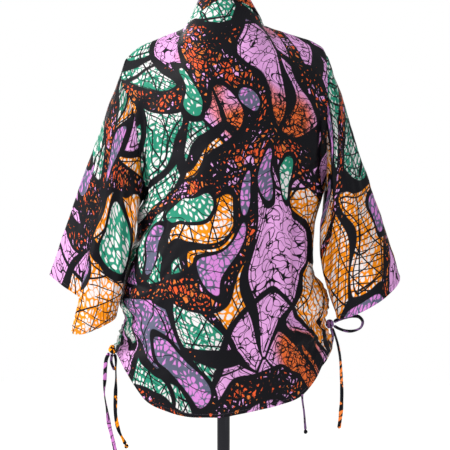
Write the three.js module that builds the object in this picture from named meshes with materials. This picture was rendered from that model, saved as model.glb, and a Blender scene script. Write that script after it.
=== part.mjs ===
// Kimono jacket of printed cotton on a limbless dress form.
// Millimetres, +Z up. The wearer faces -Y, so +X is the wearer's left and the back faces +Y.
// Origin: the pole's axis at the floor.
//
// Each cloth piece is a thin closed wall. Its outer points come from one grid for each piece
// (rows run across, from the shoulder down), and pieces that are sewn together share the points
// of their seam before a small seam gap is taken off each edge.
import * as THREE from "three";

// ---------------------------------------------------------------- driving dimensions
const CLOTH = 1.6; // wall of the cotton panels
const BAND_CLOTH = 2.8; // the neckband is folded double over its interfacing
const SEAM_GAP = 0.6; // clearance left between two pieces at a seam
const NECK_SHARE = 0.38; // share of the half width that the neckline takes at the top edge
const NECK_COLUMNS = 4; // grid columns from centre back to the neck point
const SHOULDER_COLUMNS = 10; // grid columns from the neck point to the armhole
const ARM_ROWS = 14; // grid rows from the shoulder to the underarm
const SIDE_ROWS = 19; // grid rows from the underarm to the hem
const SLEEVE_RINGS = 16; // rings from the armhole to the cuff
const BAND_STEPS = 3; // divisions across the neckband
const SHOULDER_ROUND = 88; // drop over which the cloth rounds from the shoulder to the back
const RELAX = 6; // easing passes over each body panel
const CENTRE_UNDERARM = 1046; // height of the underarm row at centre back
const BAND_WIDTH = 46;
const BAND_FLARE = { left: 0.48, right: 0.68 }; // how far the neckband leans in beside the neck
const FRONT_EDGE = 66; // distance of each front's straight edge from the middle
const FRONT_START = 0.3; // share of the half width at which a front's inner edge lies
const WRAP_SHOULDER = 66; // degrees that a panel wraps round the body at the shoulder
const WRAP_SIDE = 90; // and from the underarm down
const HEM_CLOSING = 0.28; // how much closer the rows run near the hem

const COTTON = { color: 0xb58ad0, roughness: 0.82, metalness: 0 };
const COTTON_DARK = { color: 0x2b2130, roughness: 0.82, metalness: 0 };
const JERSEY = { color: 0x2a2a2c, roughness: 0.75, metalness: 0 };
const METAL = { color: 0x3a3a3d, roughness: 0.25, metalness: 0.9 };

// Neckline and shoulder seam of each side: x and height; `sweep` holds the neckline high.
const NAPE = { x: 9.5, y: 60, z: 1431 };
const TOP = {
  left: {
    neck: { x: 81, y: 5, z: 1383 },
    sweep: 1.2,
    shoulder: [
      { along: 0, x: 81, z: 1383 },
      { along: 0.25, x: 112, z: 1369 },
      { along: 0.5, x: 143, z: 1356 },
      { along: 0.75, x: 177, z: 1342 },
      { along: 1, x: 205, z: 1318 },
    ],
  },
  right: {
    neck: { x: -85, y: 5, z: 1388 },
    sweep: 4.5,
    shoulder: [
      { along: 0, x: -85, z: 1388 },
      { along: 0.25, x: -118, z: 1376 },
      { along: 0.5, x: -150, z: 1366 },
      { along: 0.75, x: -184, z: 1356 },
      { along: 0.88, x: -206, z: 1341 },
      { along: 1, x: -215, z: 1324 },
    ],
  },
};

// Outer edge of the body panels: distance out from the middle and depth, back and front.
// The armhole's two halves part below the shoulder and meet again at the underarm.
const EDGE = {
  left: [
    { z: 1318, out: 205, back: 0, outFront: 205, front: 0 },
    { z: 1264, out: 213, back: 34, outFront: 208, front: -42 },
    { z: 1230, out: 195, back: 54, outFront: 203, front: -54 },
    { z: 1188, out: 183, back: 64, outFront: 194, front: -60 },
    { z: 1125, out: 176, back: 60, outFront: 184, front: -54 },
    { z: 1060, out: 169, back: 38, outFront: 174, front: -30 },
    { z: 1018, out: 168, back: 6, outFront: 168, front: 6 },
    { z: 985, out: 175, back: 2, outFront: 175, front: 2 },
    { z: 950, out: 188, back: 0, outFront: 188, front: 0 },
    { z: 900, out: 202, back: 0, outFront: 202, front: 0 },
    { z: 850, out: 210, back: 0, outFront: 210, front: 0 },
    { z: 797, out: 215, back: 0, outFront: 215, front: 0 },
    { z: 768, out: 208, back: 0, outFront: 208, front: 0 },
    { z: 745, out: 220, back: 0, outFront: 220, front: 0 },
    { z: 720, out: 229, back: 0, outFront: 229, front: 0 },
  ],
  right: [
    { z: 1324, out: 215, back: 0, outFront: 215, front: 0 },
    { z: 1270, out: 217, back: 40, outFront: 214, front: -42 },
    { z: 1200, out: 215, back: 58, outFront: 212, front: -56 },
    { z: 1130, out: 215, back: 46, outFront: 214, front: -38 },
    { z: 1090, out: 216, back: 27, outFront: 216, front: -17 },
    { z: 1062, out: 217, back: 6, outFront: 217, front: 6 },
    { z: 1010, out: 202, back: 5, outFront: 202, front: 5 },
    { z: 960, out: 191, back: 4, outFront: 191, front: 4 },
    { z: 895, out: 188, back: 2, outFront: 188, front: 2 },
    { z: 868, out: 195, back: 0, outFront: 195, front: 0 },
    { z: 838, out: 214, back: 0, outFront: 214, front: 0 },
    { z: 812, out: 222, back: 0, outFront: 222, front: 0 },
    { z: 786, out: 219, back: 0, outFront: 219, front: 0 },
    { z: 761, out: 213, back: 0, outFront: 213, front: 0 },
    { z: 741, out: 226, back: 0, outFront: 226, front: 0 },
    { z: 714, out: 229, back: 0, outFront: 229, front: 0 },
  ],
};

// Depth of the middle of the back and of the fronts at each height.
const DEPTH = [
  { z: 1431, back: 74, front: -60 },
  { z: 1340, back: 116, front: -104 },
  { z: 1250, back: 131, front: -126 },
  { z: 1150, back: 133, front: -136 },
  { z: 1040, back: 128, front: -136 },
  { z: 900, back: 127, front: -132 },
  { z: 780, back: 126, front: -128 },
  { z: 660, back: 116, front: -118 },
  { z: 573, back: 98, front: -104 },
];

// Depth towards which the panels run at their edges, before the armhole's own shape.
const EDGE_DEPTH = [
  { z: 1322, back: 0, front: 0 },
  { z: 1240, back: 34, front: -32 },
  { z: 1120, back: 30, front: -28 },
  { z: 980, back: 0, front: 0 },
];

// Hem heights across each half panel, from the middle (0) to the side seam (1).
const BACK_HEM = [
  { across: 0, left: 575, right: 575 },
  { across: 0.2, left: 575, right: 589 },
  { across: 0.4, left: 592, right: 604 },
  { across: 0.5, left: 608, right: 617 },
  { across: 0.6, left: 638, right: 643 },
  { across: 0.7, left: 668, right: 676 },
  { across: 0.8, left: 693, right: 698 },
  { across: 1, left: 720, right: 714 },
];
const FRONT_HEM = [
  { across: 0, left: 606, right: 606 },
  { across: 0.45, left: 626, right: 626 },
  { across: 0.75, left: 680, right: 676 },
  { across: 1, left: 720, right: 714 },
];

// Folds of the back: a straight stretch from one end to the other, its half width and how far
// the cloth stands out (+) or sinks in (-) there.
const BACK_FOLDS = [
  // long fold beside the left armhole, and the drape under it
  { x0: 166, z0: 1215, x1: 160, z1: 1030, wide: 10, out: -9 },
  { x0: 150, z0: 1205, x1: 146, z1: 1010, wide: 12, out: 4 },
  { x0: 156, z0: 1010, x1: 196, z1: 962, wide: 11, out: 9 },
  { x0: 150, z0: 984, x1: 190, z1: 934, wide: 13, out: -11 },
  { x0: 128, z0: 985, x1: 176, z1: 905, wide: 13, out: 6 },
  // valley between the right armhole and the back, with the drag folds beside it
  { x0: -204, z0: 1185, x1: -204, z1: 1075, wide: 9, out: -11 },
  { x0: -192, z0: 1180, x1: -190, z1: 1010, wide: 11, out: 5 },
  { x0: -142, z0: 1068, x1: -190, z1: 1122, wide: 9, out: 5 },
  { x0: -146, z0: 1062, x1: -194, z1: 1094, wide: 8, out: -6 },
  { x0: -140, z0: 1060, x1: -148, z1: 915, wide: 12, out: -7 },
  { x0: -148, z0: 915, x1: -156, z1: 745, wide: 13, out: -8 },
  { x0: -120, z0: 1020, x1: -126, z1: 800, wide: 18, out: 5 },
  // pouch above the right drawstring
  { x0: -214, z0: 826, x1: -150, z1: 812, wide: 17, out: 8 },
  { x0: -206, z0: 872, x1: -160, z1: 866, wide: 12, out: -7 },
  { x0: -214, z0: 762, x1: -140, z1: 776, wide: 11, out: -10 },
  { x0: -212, z0: 744, x1: -150, z1: 728, wide: 9, out: 6 },
  { x0: -206, z0: 722, x1: -130, z1: 690, wide: 12, out: -5 },
  // roll and gathers above the left drawstring
  { x0: 212, z0: 800, x1: 172, z1: 824, wide: 11, out: 8 },
  { x0: 208, z0: 770, x1: 140, z1: 790, wide: 12, out: -9 },
  { x0: 214, z0: 752, x1: 160, z1: 758, wide: 9, out: 5 },
  { x0: 222, z0: 728, x1: 150, z1: 720, wide: 11, out: -7 },
  { x0: 220, z0: 708, x1: 150, z1: 672, wide: 12, out: 5 },
  // soft waves low on the back
  { x0: 96, z0: 760, x1: 70, z1: 610, wide: 22, out: -5 },
  { x0: -60, z0: 780, x1: -40, z1: 610, wide: 24, out: -4 },
  { x0: 20, z0: 960, x1: 10, z1: 620, wide: 30, out: 4 },
];

// Folds of each front, x measured outward from the middle.
const FRONT_FOLDS = [
  { x0: 170, z0: 1180, x1: 130, z1: 990, wide: 16, out: -7 },
  { x0: 150, z0: 1060, x1: 120, z1: 860, wide: 18, out: 6 },
  { x0: 110, z0: 1180, x1: 96, z1: 760, wide: 20, out: -5 },
  { x0: 205, z0: 816, x1: 130, z1: 800, wide: 15, out: 7 },
  { x0: 205, z0: 768, x1: 120, z1: 780, wide: 12, out: -8 },
  { x0: 210, z0: 736, x1: 130, z1: 712, wide: 11, out: 5 },
  { x0: 120, z0: 740, x1: 110, z1: 640, wide: 18, out: -4 },
];

// Sleeve sections between the armhole (0) and the cuff (1): ends of the section on the shoulder
// side and the underarm side, how far its layers part, how far they hang lower in the middle,
// how much of the tuck below the back layer shows, and how far the back layer's inner corner
// laps over the side of the body.
const SLEEVE = {
  left: [
    { at: 0.18, topX: 229, topZ: 1250, underX: 189, underZ: 986, back: 62, front: 56, hang: 0, tuck: 0, lap: 16 },
    { at: 0.42, topX: 272, topZ: 1132, underX: 208, underZ: 936, back: 60, front: 54, hang: 0, tuck: 0.16, lap: 29 },
    { at: 0.7, topX: 319, topZ: 1001, underX: 219, underZ: 872, back: 58, front: 52, hang: 3, tuck: 0.55, lap: 24 },
    { at: 1, topX: 364, topZ: 862, underX: 229, underZ: 801, back: 58, front: 50, hang: 8, tuck: 1, lap: 20 },
  ],
  right: [
    { at: 0.18, topX: -240, topZ: 1262, underX: -211, underZ: 1016, back: 62, front: 58, hang: 0, tuck: 0, lap: 0 },
    { at: 0.42, topX: -277, topZ: 1142, underX: -202, underZ: 950, back: 60, front: 56, hang: 2, tuck: 0, lap: 0 },
    { at: 0.7, topX: -325, topZ: 1002, underX: -209, underZ: 866, back: 58, front: 56, hang: 8, tuck: 0, lap: 0 },
    { at: 1, topX: -371, topZ: 858, underX: -238, underZ: 778, back: 58, front: 56, hang: 20, tuck: 0, lap: 0 },
  ],
};
// The left back layer folded over itself at the cuff: place across the section, depth, drop.
const TUCK = [
  { t: 0, place: 0, depth: 0, drop: 0 },
  { t: 0.13, place: 0.2, depth: 20, drop: 9 },
  { t: 0.25, place: 0.42, depth: 28, drop: 15 },
  { t: 0.35, place: 0.53, depth: 33, drop: 26 },
  { t: 0.45, place: 0.44, depth: 50, drop: 60 },
  { t: 0.54, place: 0.36, depth: 66, drop: 92 },
  { t: 0.66, place: 0.55, depth: 76, drop: 84 },
  { t: 0.83, place: 0.83, depth: 52, drop: 40 },
  { t: 1, place: 1, depth: 0, drop: 0 },
];
const UNDERARM_DEPTH = 6; // depth of the sleeve's underarm line
const LAP_PLACE = 0.82; // where across the back layer it laps over the body
const LAP_WIDE = 0.14;
const LAP_LIFT = 0.5; // share of the lap by which it stands off the body

// Long soft folds of a sleeve's layers: place round the ring (0 top, 0.5 underarm), span
// along the sleeve, half width round the ring and depth.
const SLEEVE_FOLDS = {
  left: [
    { round: 0.12, from: 0.1, to: 0.7, wide: 0.035, out: 4 },
    { round: 0.33, from: 0.15, to: 0.9, wide: 0.04, out: -6 },
    { round: 0.42, from: 0.3, to: 1, wide: 0.035, out: 5 },
    { round: 0.66, from: 0.1, to: 1, wide: 0.05, out: -6 },
    { round: 0.82, from: 0.2, to: 1, wide: 0.05, out: 5 },
  ],
  right: [
    { round: 0.1, from: 0.15, to: 0.8, wide: 0.035, out: -4 },
    { round: 0.22, from: 0.2, to: 1, wide: 0.045, out: 5 },
    { round: 0.34, from: 0.05, to: 1, wide: 0.04, out: -6 },
    { round: 0.44, from: 0.2, to: 1, wide: 0.03, out: 5 },
    { round: 0.66, from: 0.1, to: 1, wide: 0.05, out: -6 },
    { round: 0.83, from: 0.2, to: 1, wide: 0.05, out: 5 },
  ],
};

// Drawstrings: ties of the same cloth, tied at the foot of each side seam.
const TIE_WIDTH = 7;
const TIE_SIDES = 8;
const TIE_STEP = 16;
const KNOTS = [
  { name: "knot_left", centre: { x: 232, y: -2, z: 706.5 }, half: { x: 10, y: 8, z: 10 } },
  { name: "knot_right", centre: { x: -223, y: 0, z: 760 }, half: { x: 9, y: 8, z: 10 } },
];
const TIES = [
  { name: "tie_left_outer",
    route: [[239.4, 0, 699], [245.5, 0, 688], [248, 1, 670], [249, 2, 645], [250, 3, 615], [245, 4, 583],
      [240, 5, 550], [232, 6, 517], [226, 6, 490], [222, 6, 474]] },
  { name: "tie_left_inner",
    route: [[228.5, 1, 697], [226, 3, 685], [226, 4, 668], [225.5, 5, 645], [226.5, 6, 605], [226, 7, 568],
      [219, 8, 536], [211, 9, 520], [205, 9, 508]] },
  { name: "tie_left_stub",
    route: [[233.5, -6.5, 697], [236, -9, 688], [236, -6, 680], [233, -7, 670], [229, -7, 662]] },
  { name: "tie_right_loop",
    route: [[-231, 3, 764], [-240, 5, 769], [-255, 7, 774], [-270, 8, 777], [-284, 7, 775], [-292, 4, 765],
      [-288, 0, 752], [-273, -3, 745], [-257, -5, 745], [-242, -5, 750], [-231.5, -4, 756]] },
  { name: "tie_right_outer",
    route: [[-229, 1, 751.5], [-234, 2, 737], [-240, 3, 716], [-244.5, 4, 690], [-247, 5, 650],
      [-248, 6, 610], [-246, 7, 575], [-242, 8, 541]] },
  { name: "tie_right_inner",
    route: [[-226, -5, 751.5], [-230, -18, 738], [-229, -38, 716], [-221, -62, 694], [-207, -86, 672],
      [-191, -105, 652], [-177, -117, 628], [-171, -121, 598], [-175, -121, 560], [-178, -120, 522]] },
];

// Dress form: level sections from the neck down to the foot of the torso.
const FORM_SIDES = 36;
const FORM = [
  { z: 1505, half: 41, back: 41, front: 41, lean: -6, power: 2 },
  { z: 1450, half: 42, back: 42, front: 43, lean: -4, power: 2 },
  { z: 1418, half: 45, back: 44, front: 45, lean: -2, power: 2 },
  { z: 1400, half: 54, back: 48, front: 46, lean: 0, power: 1.8 },
  { z: 1386, half: 67, back: 53, front: 46, lean: 3, power: 1.5 },
  { z: 1374, half: 86, back: 60, front: 46, lean: 4, power: 1.1 },
  { z: 1362, half: 118, back: 66, front: 58, lean: 4, power: 1.15 },
  { z: 1350, half: 145, back: 71, front: 69, lean: 4, power: 1.15 },
  { z: 1338, half: 162, back: 75, front: 80, lean: 3, power: 1.2 },
  { z: 1322, half: 170, back: 83, front: 88, lean: 2, power: 1.4 },
  { z: 1295, half: 173, back: 94, front: 98, lean: 0, power: 1.7 },
  { z: 1250, half: 168, back: 103, front: 106, lean: 0, power: 2 },
  { z: 1190, half: 157, back: 107, front: 113, lean: 0, power: 2 },
  { z: 1120, half: 144, back: 104, front: 112, lean: 0, power: 2 },
  { z: 1050, half: 128, back: 92, front: 98, lean: 0, power: 2 },
  { z: 980, half: 120, back: 86, front: 90, lean: 0, power: 2 },
  { z: 910, half: 132, back: 94, front: 92, lean: 0, power: 2 },
  { z: 850, half: 148, back: 102, front: 96, lean: 0, power: 2 },
  { z: 815, half: 154, back: 104, front: 98, lean: 0, power: 2 },
];
const PART_GAP = 0.3; // clearance between the parts of the stand
const COLLAR_FOOT = 770;
const POLE_RADIUS = 13.5;
const HUB_TOP = 52;
const BASE_RADIUS = 175;

// ---------------------------------------------------------------- small helpers
const lerp = (a, b, t) => a + (b - a) * t;
const clamp01 = (t) => Math.min(1, Math.max(0, t));
const smooth = (t) => {
  const c = clamp01(t);
  return c * c * (3 - 2 * c);
};

/** Value of a column at `where`, smooth through the rows of a table ordered by `axis`. */
function along(rows, axis, column, where) {
  const rising = rows[rows.length - 1][axis] > rows[0][axis];
  const at = (i) => (rising ? rows[i][axis] : -rows[i][axis]);
  const goal = rising ? where : -where;
  if (goal <= at(0)) return rows[0][column];
  const last = rows.length - 1;
  if (goal >= at(last)) return rows[last][column];
  let i = 0;
  while (at(i + 1) < goal) i += 1;
  const slope = (k) => {
    const a = Math.max(0, k - 1);
    const b = Math.min(last, k + 1);
    return (rows[b][column] - rows[a][column]) / (at(b) - at(a));
  };
  const step = at(i + 1) - at(i);
  const t = (goal - at(i)) / step;
  const t2 = t * t;
  const t3 = t2 * t;
  return (2 * t3 - 3 * t2 + 1) * rows[i][column] + (t3 - 2 * t2 + t) * step * slope(i)
    + (3 * t2 - 2 * t3) * rows[i + 1][column] + (t3 - t2) * step * slope(i + 1);
}

/** How far a table of straight folds pushes the cloth out at the point (x, z). */
function foldOut(folds, x, z) {
  let sum = 0;
  for (const f of folds) {
    const dx = f.x1 - f.x0;
    const dz = f.z1 - f.z0;
    const long = Math.hypot(dx, dz);
    const t = ((x - f.x0) * dx + (z - f.z0) * dz) / (long * long);
    const off = Math.abs((x - f.x0) * dz - (z - f.z0) * dx) / long;
    const past = Math.max(0, -t, t - 1) * long;
    const fade = smooth((t + 0.12) / 0.3) * smooth((1.12 - t) / 0.3);
    sum += f.out * Math.exp(-((off / f.wide) ** 2)) * (past > 0 ? fade : Math.max(fade, 0.2));
  }
  return sum;
}

// ---------------------------------------------------------------- body panels
const ROWS = ARM_ROWS + SIDE_ROWS;
const sideSign = { left: 1, right: -1 };

/** Point of the top edge, from centre back (share 0) to the shoulder tip (share 1). */
function topPoint(side, share) {
  const top = TOP[side];
  if (share <= NECK_SHARE) {
    const turn = (share / NECK_SHARE) * (Math.PI / 2);
    const round = Math.sin(turn);
    return new THREE.Vector3(
      lerp(NAPE.x, top.neck.x, round),
      lerp(top.neck.y, NAPE.y, Math.cos(turn)),
      lerp(NAPE.z, top.neck.z, round ** top.sweep),
    );
  }
  const a = (share - NECK_SHARE) / (1 - NECK_SHARE);
  return new THREE.Vector3(
    along(top.shoulder, "along", "x", a),
    lerp(top.neck.y, 0, a),
    along(top.shoulder, "along", "z", a),
  );
}

/** Height of a side's armhole or side seam at grid row j. */
function edgeHeight(side, j) {
  const rows = EDGE[side];
  const under = rows.find((row, k) => k > 0 && row.back === row.front).z;
  if (j <= ARM_ROWS) return lerp(rows[0].z, under, j / ARM_ROWS);
  return lerp(under, rows[rows.length - 1].z, lowerShare(j));
}

/** Share of the way from the underarm row to the hem; the rows close up near the hem. */
function lowerShare(j) {
  const t = (j - ARM_ROWS) / SIDE_ROWS;
  return t + HEM_CLOSING * (t - t * t);
}

/** How far the body section wraps round towards the side at row j, as an angle. */
function wrap(j) {
  return THREE.MathUtils.degToRad(lerp(WRAP_SHOULDER, WRAP_SIDE, smooth((j - ARM_ROWS + 3) / 8)));
}

function rowHeight(top, side, across, hem, j) {
  const under = lerp(CENTRE_UNDERARM, edgeHeight(side, ARM_ROWS), across);
  if (j <= ARM_ROWS) return lerp(top, under, j / ARM_ROWS);
  return lerp(under, hem, lowerShare(j));
}

/** Outer point of the back at column share u (+1 left edge, -1 right edge) and row j. */
function backPoint(u, j) {
  const side = u >= 0 ? "left" : "right";
  const share = Math.abs(u);
  const sign = sideSign[side];
  const top = topPoint(side, share);
  const z = rowHeight(top.z, side, share, along(BACK_HEM, "across", side, share), j);
  const edgeZ = edgeHeight(side, j);
  const out = along(EDGE[side], "z", "out", edgeZ);
  const edgeY = along(EDGE[side], "z", "back", edgeZ);
  const turn = wrap(j);
  const sweep = Math.sin(share * turn) / Math.sin(turn);
  const round = (Math.cos(share * turn) - Math.cos(turn)) / (1 - Math.cos(turn));
  const topTurn = wrap(0);
  const topShift = top.x - sign * EDGE[side][0].out * (Math.sin(share * topTurn) / Math.sin(topTurn));
  const drop = clamp01((top.z - z) / SHOULDER_ROUND);
  const over = Math.sin((drop * Math.PI) / 2);
  const x = sign * out * sweep + topShift * (1 - smooth(j / (ARM_ROWS * 0.7)));
  const depth = along(DEPTH, "z", "back", z);
  const plainY = along(EDGE_DEPTH, "z", "back", edgeZ);
  const y = plainY + (edgeY - plainY) * share ** 5 + top.y * (1 - over) + (depth - plainY) * round * over;
  return new THREE.Vector3(x, y, z);
}

/** Inner edge of a front, where the neckband is sewn on, at row j. */
function frontEdge(side, j) {
  const neck = TOP[side].neck;
  const hem = along(FRONT_HEM, "across", side, 0);
  const z = rowHeight(neck.z, side, FRONT_START, hem, j);
  const drop = clamp01((neck.z - z) / SHOULDER_ROUND);
  const x = lerp(Math.abs(neck.x), FRONT_EDGE, smooth(drop * 0.8));
  const y = lerp(neck.y, along(DEPTH, "z", "front", z) + 6, Math.sin((drop * Math.PI) / 2));
  return new THREE.Vector3(sideSign[side] * x, y, z);
}

/** Outer point of a front at share t (0 inner edge, 1 armhole or side seam) and row j. */
function frontPoint(side, t, j) {
  const sign = sideSign[side];
  const inner = frontEdge(side, j);
  const top = topPoint(side, NECK_SHARE + t * (1 - NECK_SHARE));
  const hem = along(FRONT_HEM, "across", side, t);
  const across = lerp(FRONT_START, 1, t);
  const z = rowHeight(top.z, side, across, hem, j);
  const edgeZ = edgeHeight(side, j);
  const out = along(EDGE[side], "z", "outFront", edgeZ);
  const edgeY = along(EDGE[side], "z", "front", edgeZ);
  const turn = wrap(j);
  const sweep = Math.sin(t * turn) / Math.sin(turn);
  const round = (Math.cos(t * turn) - Math.cos(turn)) / (1 - Math.cos(turn));
  const topTurn = wrap(0);
  const innerTop = Math.abs(TOP[side].neck.x);
  const straight = lerp(innerTop, EDGE[side][0].outFront, Math.sin(t * topTurn) / Math.sin(topTurn));
  const topShift = (Math.abs(top.x) - straight) * (1 - smooth(j / (ARM_ROWS * 0.7)));
  const x = sign * (lerp(Math.abs(inner.x), out, sweep) + topShift);
  const drop = clamp01((top.z - z) / SHOULDER_ROUND);
  const over = Math.sin((drop * Math.PI) / 2);
  const plainY = along(EDGE_DEPTH, "z", "front", edgeZ);
  const depth = along(DEPTH, "z", "front", z);
  const shell = plainY + (edgeY - plainY) * t ** 5 + top.y * (1 - over) + (depth - plainY) * round * over;
  const y = lerp(shell, inner.y, (1 - t) ** 6);
  return new THREE.Vector3(x, y, z);
}

/** Moves a grid's points along its normals by the height that `height(point, i, j)` gives. */
function pushOut(grid, closed, height) {
  const normals = gridNormals(grid, closed);
  return grid.map((row, j) => row.map((p, i) => p.clone().addScaledVector(normals[j][i], height(p, i, j))));
}

/** Unit normals of a grid of points; rows run down, columns run so that normals point out. */
function gridNormals(grid, closed) {
  const rows = grid.length;
  const columns = grid[0].length;
  return grid.map((row, j) => row.map((_, i) => {
    const left = closed ? (i + columns - 1) % columns : Math.max(0, i - 1);
    const right = closed ? (i + 1) % columns : Math.min(columns - 1, i + 1);
    const across = grid[j][right].clone().sub(grid[j][left]);
    const down = grid[Math.min(rows - 1, j + 1)][i].clone().sub(grid[Math.max(0, j - 1)][i]);
    return across.cross(down).normalize();
  }));
}

const columnShares = [];
for (let k = 0; k <= NECK_COLUMNS; k += 1) columnShares.push((NECK_SHARE * k) / NECK_COLUMNS);
for (let k = 1; k <= SHOULDER_COLUMNS; k += 1) {
  columnShares.push(lerp(NECK_SHARE, 1, k / SHOULDER_COLUMNS));
}
const backShares = [...columnShares.slice(1).reverse().map((u) => -u), ...columnShares];
const backMiddle = columnShares.length - 1;

/** Eases a grid like hanging cloth: inner points settle towards their neighbours. */
function relax(grid, times) {
  let eased = grid;
  for (let n = 0; n < times; n += 1) {
    const now = eased;
    eased = now.map((row, j) => row.map((p, i) => {
      if (j === 0 || i === 0 || j === now.length - 1 || i === row.length - 1) return p.clone();
      const mean = now[j - 1][i].clone().add(now[j + 1][i]).add(row[i - 1]).add(row[i + 1]);
      return p.clone().lerp(mean.multiplyScalar(0.25), 0.5);
    }));
  }
  return eased;
}

/** Grid of the back, its columns from the wearer's right edge to the left edge. */
function backGrid() {
  const grid = [];
  for (let j = 0; j <= ROWS; j += 1) grid.push(backShares.map((u) => backPoint(u, j)));
  return pushOut(relax(grid, RELAX), false, (p, i, j) => foldOut(BACK_FOLDS, p.x, p.z) * smooth(j / 3));
}

/** Grid of a front; its outer edge and shoulder take the points of the back's edge. */
function frontGrid(side, back) {
  const grid = [];
  const sign = sideSign[side];
  for (let j = 0; j <= ROWS; j += 1) {
    const row = [];
    for (let k = 0; k <= SHOULDER_COLUMNS; k += 1) row.push(frontPoint(side, k / SHOULDER_COLUMNS, j));
    grid.push(side === "left" ? row.reverse() : row);
  }
  const edge = side === "left" ? 0 : SHOULDER_COLUMNS;
  const backEdge = side === "left" ? backShares.length - 1 : 0;
  const pushed = pushOut(relax(grid, RELAX), false, (p, i, j) => {
    const fromEdge = Math.abs(i - edge) / 2;
    return foldOut(FRONT_FOLDS, p.x * sign, p.z) * smooth(j / 3) * smooth(fromEdge);
  });
  for (let j = ARM_ROWS; j <= ROWS; j += 1) pushed[j][edge] = back[j][backEdge].clone();
  for (let k = 0; k <= SHOULDER_COLUMNS; k += 1) {
    const column = side === "left" ? SHOULDER_COLUMNS - k : k;
    pushed[0][column] = back[0][backMiddle + sign * (NECK_COLUMNS + k)].clone();
  }
  return pushed;
}

// ---------------------------------------------------------------- sleeves
/** Armhole loop of a side: down the back's edge from the shoulder, up the front's edge. */
function armhole(side, back, front) {
  const backEdge = side === "left" ? backShares.length - 1 : 0;
  const frontColumn = side === "left" ? 0 : SHOULDER_COLUMNS;
  const loop = [];
  for (let j = 0; j < ARM_ROWS; j += 1) loop.push(back[j][backEdge].clone());
  for (let j = ARM_ROWS; j > 0; j -= 1) loop.push(front[j][frontColumn].clone());
  return loop;
}

/** Point of a sleeve section: `round` runs 0 (top) to 0.5 (underarm) on the back, on to 1. */
function sectionPoint(section, round) {
  const onBack = round <= 0.5;
  const t = onBack ? round * 2 : 2 - round * 2;
  const bulge = Math.sin(Math.PI * t) ** 0.8;
  const fold = onBack ? section.tuck : 0;
  const plain = (1 - Math.cos(Math.PI * t)) / 2;
  const place = lerp(plain, along(TUCK, "t", "place", t), fold);
  const depth = lerp((onBack ? section.back : -section.front) * bulge, along(TUCK, "t", "depth", t), fold);
  const drop = lerp(section.hang * Math.sin(Math.PI * t), along(TUCK, "t", "drop", t), fold);
  const lap = onBack ? section.lap * Math.exp(-(((t - LAP_PLACE) / LAP_WIDE) ** 2)) : 0;
  return new THREE.Vector3(
    lerp(section.topX, section.underX, place) - lap,
    UNDERARM_DEPTH * t + depth + lap * LAP_LIFT,
    lerp(section.topZ, section.underZ, place) - drop,
  );
}

/** Grid of a sleeve: one closed row for each ring, from the armhole to the cuff. */
function sleeveGrid(side, loop) {
  const table = SLEEVE[side];
  const count = loop.length;
  const grid = [];
  for (let r = 0; r <= SLEEVE_RINGS; r += 1) {
    const at = r / SLEEVE_RINGS;
    const row = [];
    for (let k = 0; k < count; k += 1) {
      const stations = [{ at: 0, p: loop[k] }];
      for (const section of table) {
        stations.push({ at: section.at, p: sectionPoint(section, k / count) });
      }
      const rows = stations.map(({ at: a, p }) => ({ a, x: p.x, y: p.y, z: p.z }));
      row.push(new THREE.Vector3(
        along(rows, "a", "x", at),
        along(rows, "a", "y", at),
        along(rows, "a", "z", at),
      ));
    }
    grid.push(side === "left" ? row.reverse() : row);
  }
  return pushOut(grid, true, (p, i, j) => {
    const k = side === "left" ? count - 1 - i : i;
    return sleeveFold(SLEEVE_FOLDS[side], k / count, j / SLEEVE_RINGS);
  });
}

function sleeveFold(folds, round, at) {
  let sum = 0;
  for (const f of folds) {
    const fade = smooth((at - f.from) / 0.2) * (f.to >= 1 ? 1 : smooth((f.to - at) / 0.2));
    sum += f.out * Math.exp(-(((round - f.round) / f.wide) ** 2)) * fade;
  }
  return sum;
}

// ---------------------------------------------------------------- neckband
/** Grid of a neckband half: from the nape round the neck and down the front's edge. */
function bandGrid(side, back, front) {
  const sign = sideSign[side];
  const seam = [];
  for (let k = 0; k <= NECK_COLUMNS; k += 1) seam.push(back[0][backMiddle + sign * k].clone());
  const inner = side === "left" ? SHOULDER_COLUMNS : 0;
  for (let j = 1; j <= ROWS; j += 1) seam.push(front[j][inner].clone());
  const grid = seam.map((p, k) => {
    const neckShare = k / NECK_COLUMNS;
    const frontShare = (k - NECK_COLUMNS) / ARM_ROWS;
    const upright = new THREE.Vector3(-sign * BAND_FLARE[side] * smooth(neckShare), -0.2, 1);
    const flat = new THREE.Vector3(-sign, -0.06, 0.1);
    const lean = smooth(frontShare / 0.75 + 0.12);
    const way = upright.lerp(flat, k <= NECK_COLUMNS ? 0.12 * smooth(neckShare) : lean).normalize();
    const row = [];
    for (let w = 0; w <= BAND_STEPS; w += 1) {
      row.push(p.clone().addScaledVector(way, (BAND_WIDTH * w) / BAND_STEPS));
    }
    return side === "right" ? row.reverse() : row;
  });
  return grid;
}

// ---------------------------------------------------------------- cloth walls
const key = (p) => `${p.x.toFixed(2)},${p.y.toFixed(2)},${p.z.toFixed(2)}`;

/**
 * Gives each sheet its normals, averaged where sheets share a seam point, so that walls mitre.
 * Body panels count as one surface against a sleeve or the neckband.
 */
function shareNormals(sheets) {
  const sums = new Map();
  for (const sheet of sheets) {
    sheet.normals = gridNormals(sheet.grid, sheet.closed);
    sheet.grid.forEach((row, j) => row.forEach((p, i) => {
      const id = key(p);
      if (!sums.has(id)) sums.set(id, {});
      const groups = sums.get(id);
      groups[sheet.group] ??= new THREE.Vector3();
      groups[sheet.group].add(sheet.normals[j][i]);
    }));
  }
  const shared = (p) => {
    const mean = new THREE.Vector3();
    for (const sum of Object.values(sums.get(key(p)))) mean.add(sum.clone().normalize());
    return mean.normalize();
  };
  for (const sheet of sheets) sheet.normals = sheet.grid.map((row) => row.map(shared));
}

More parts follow.
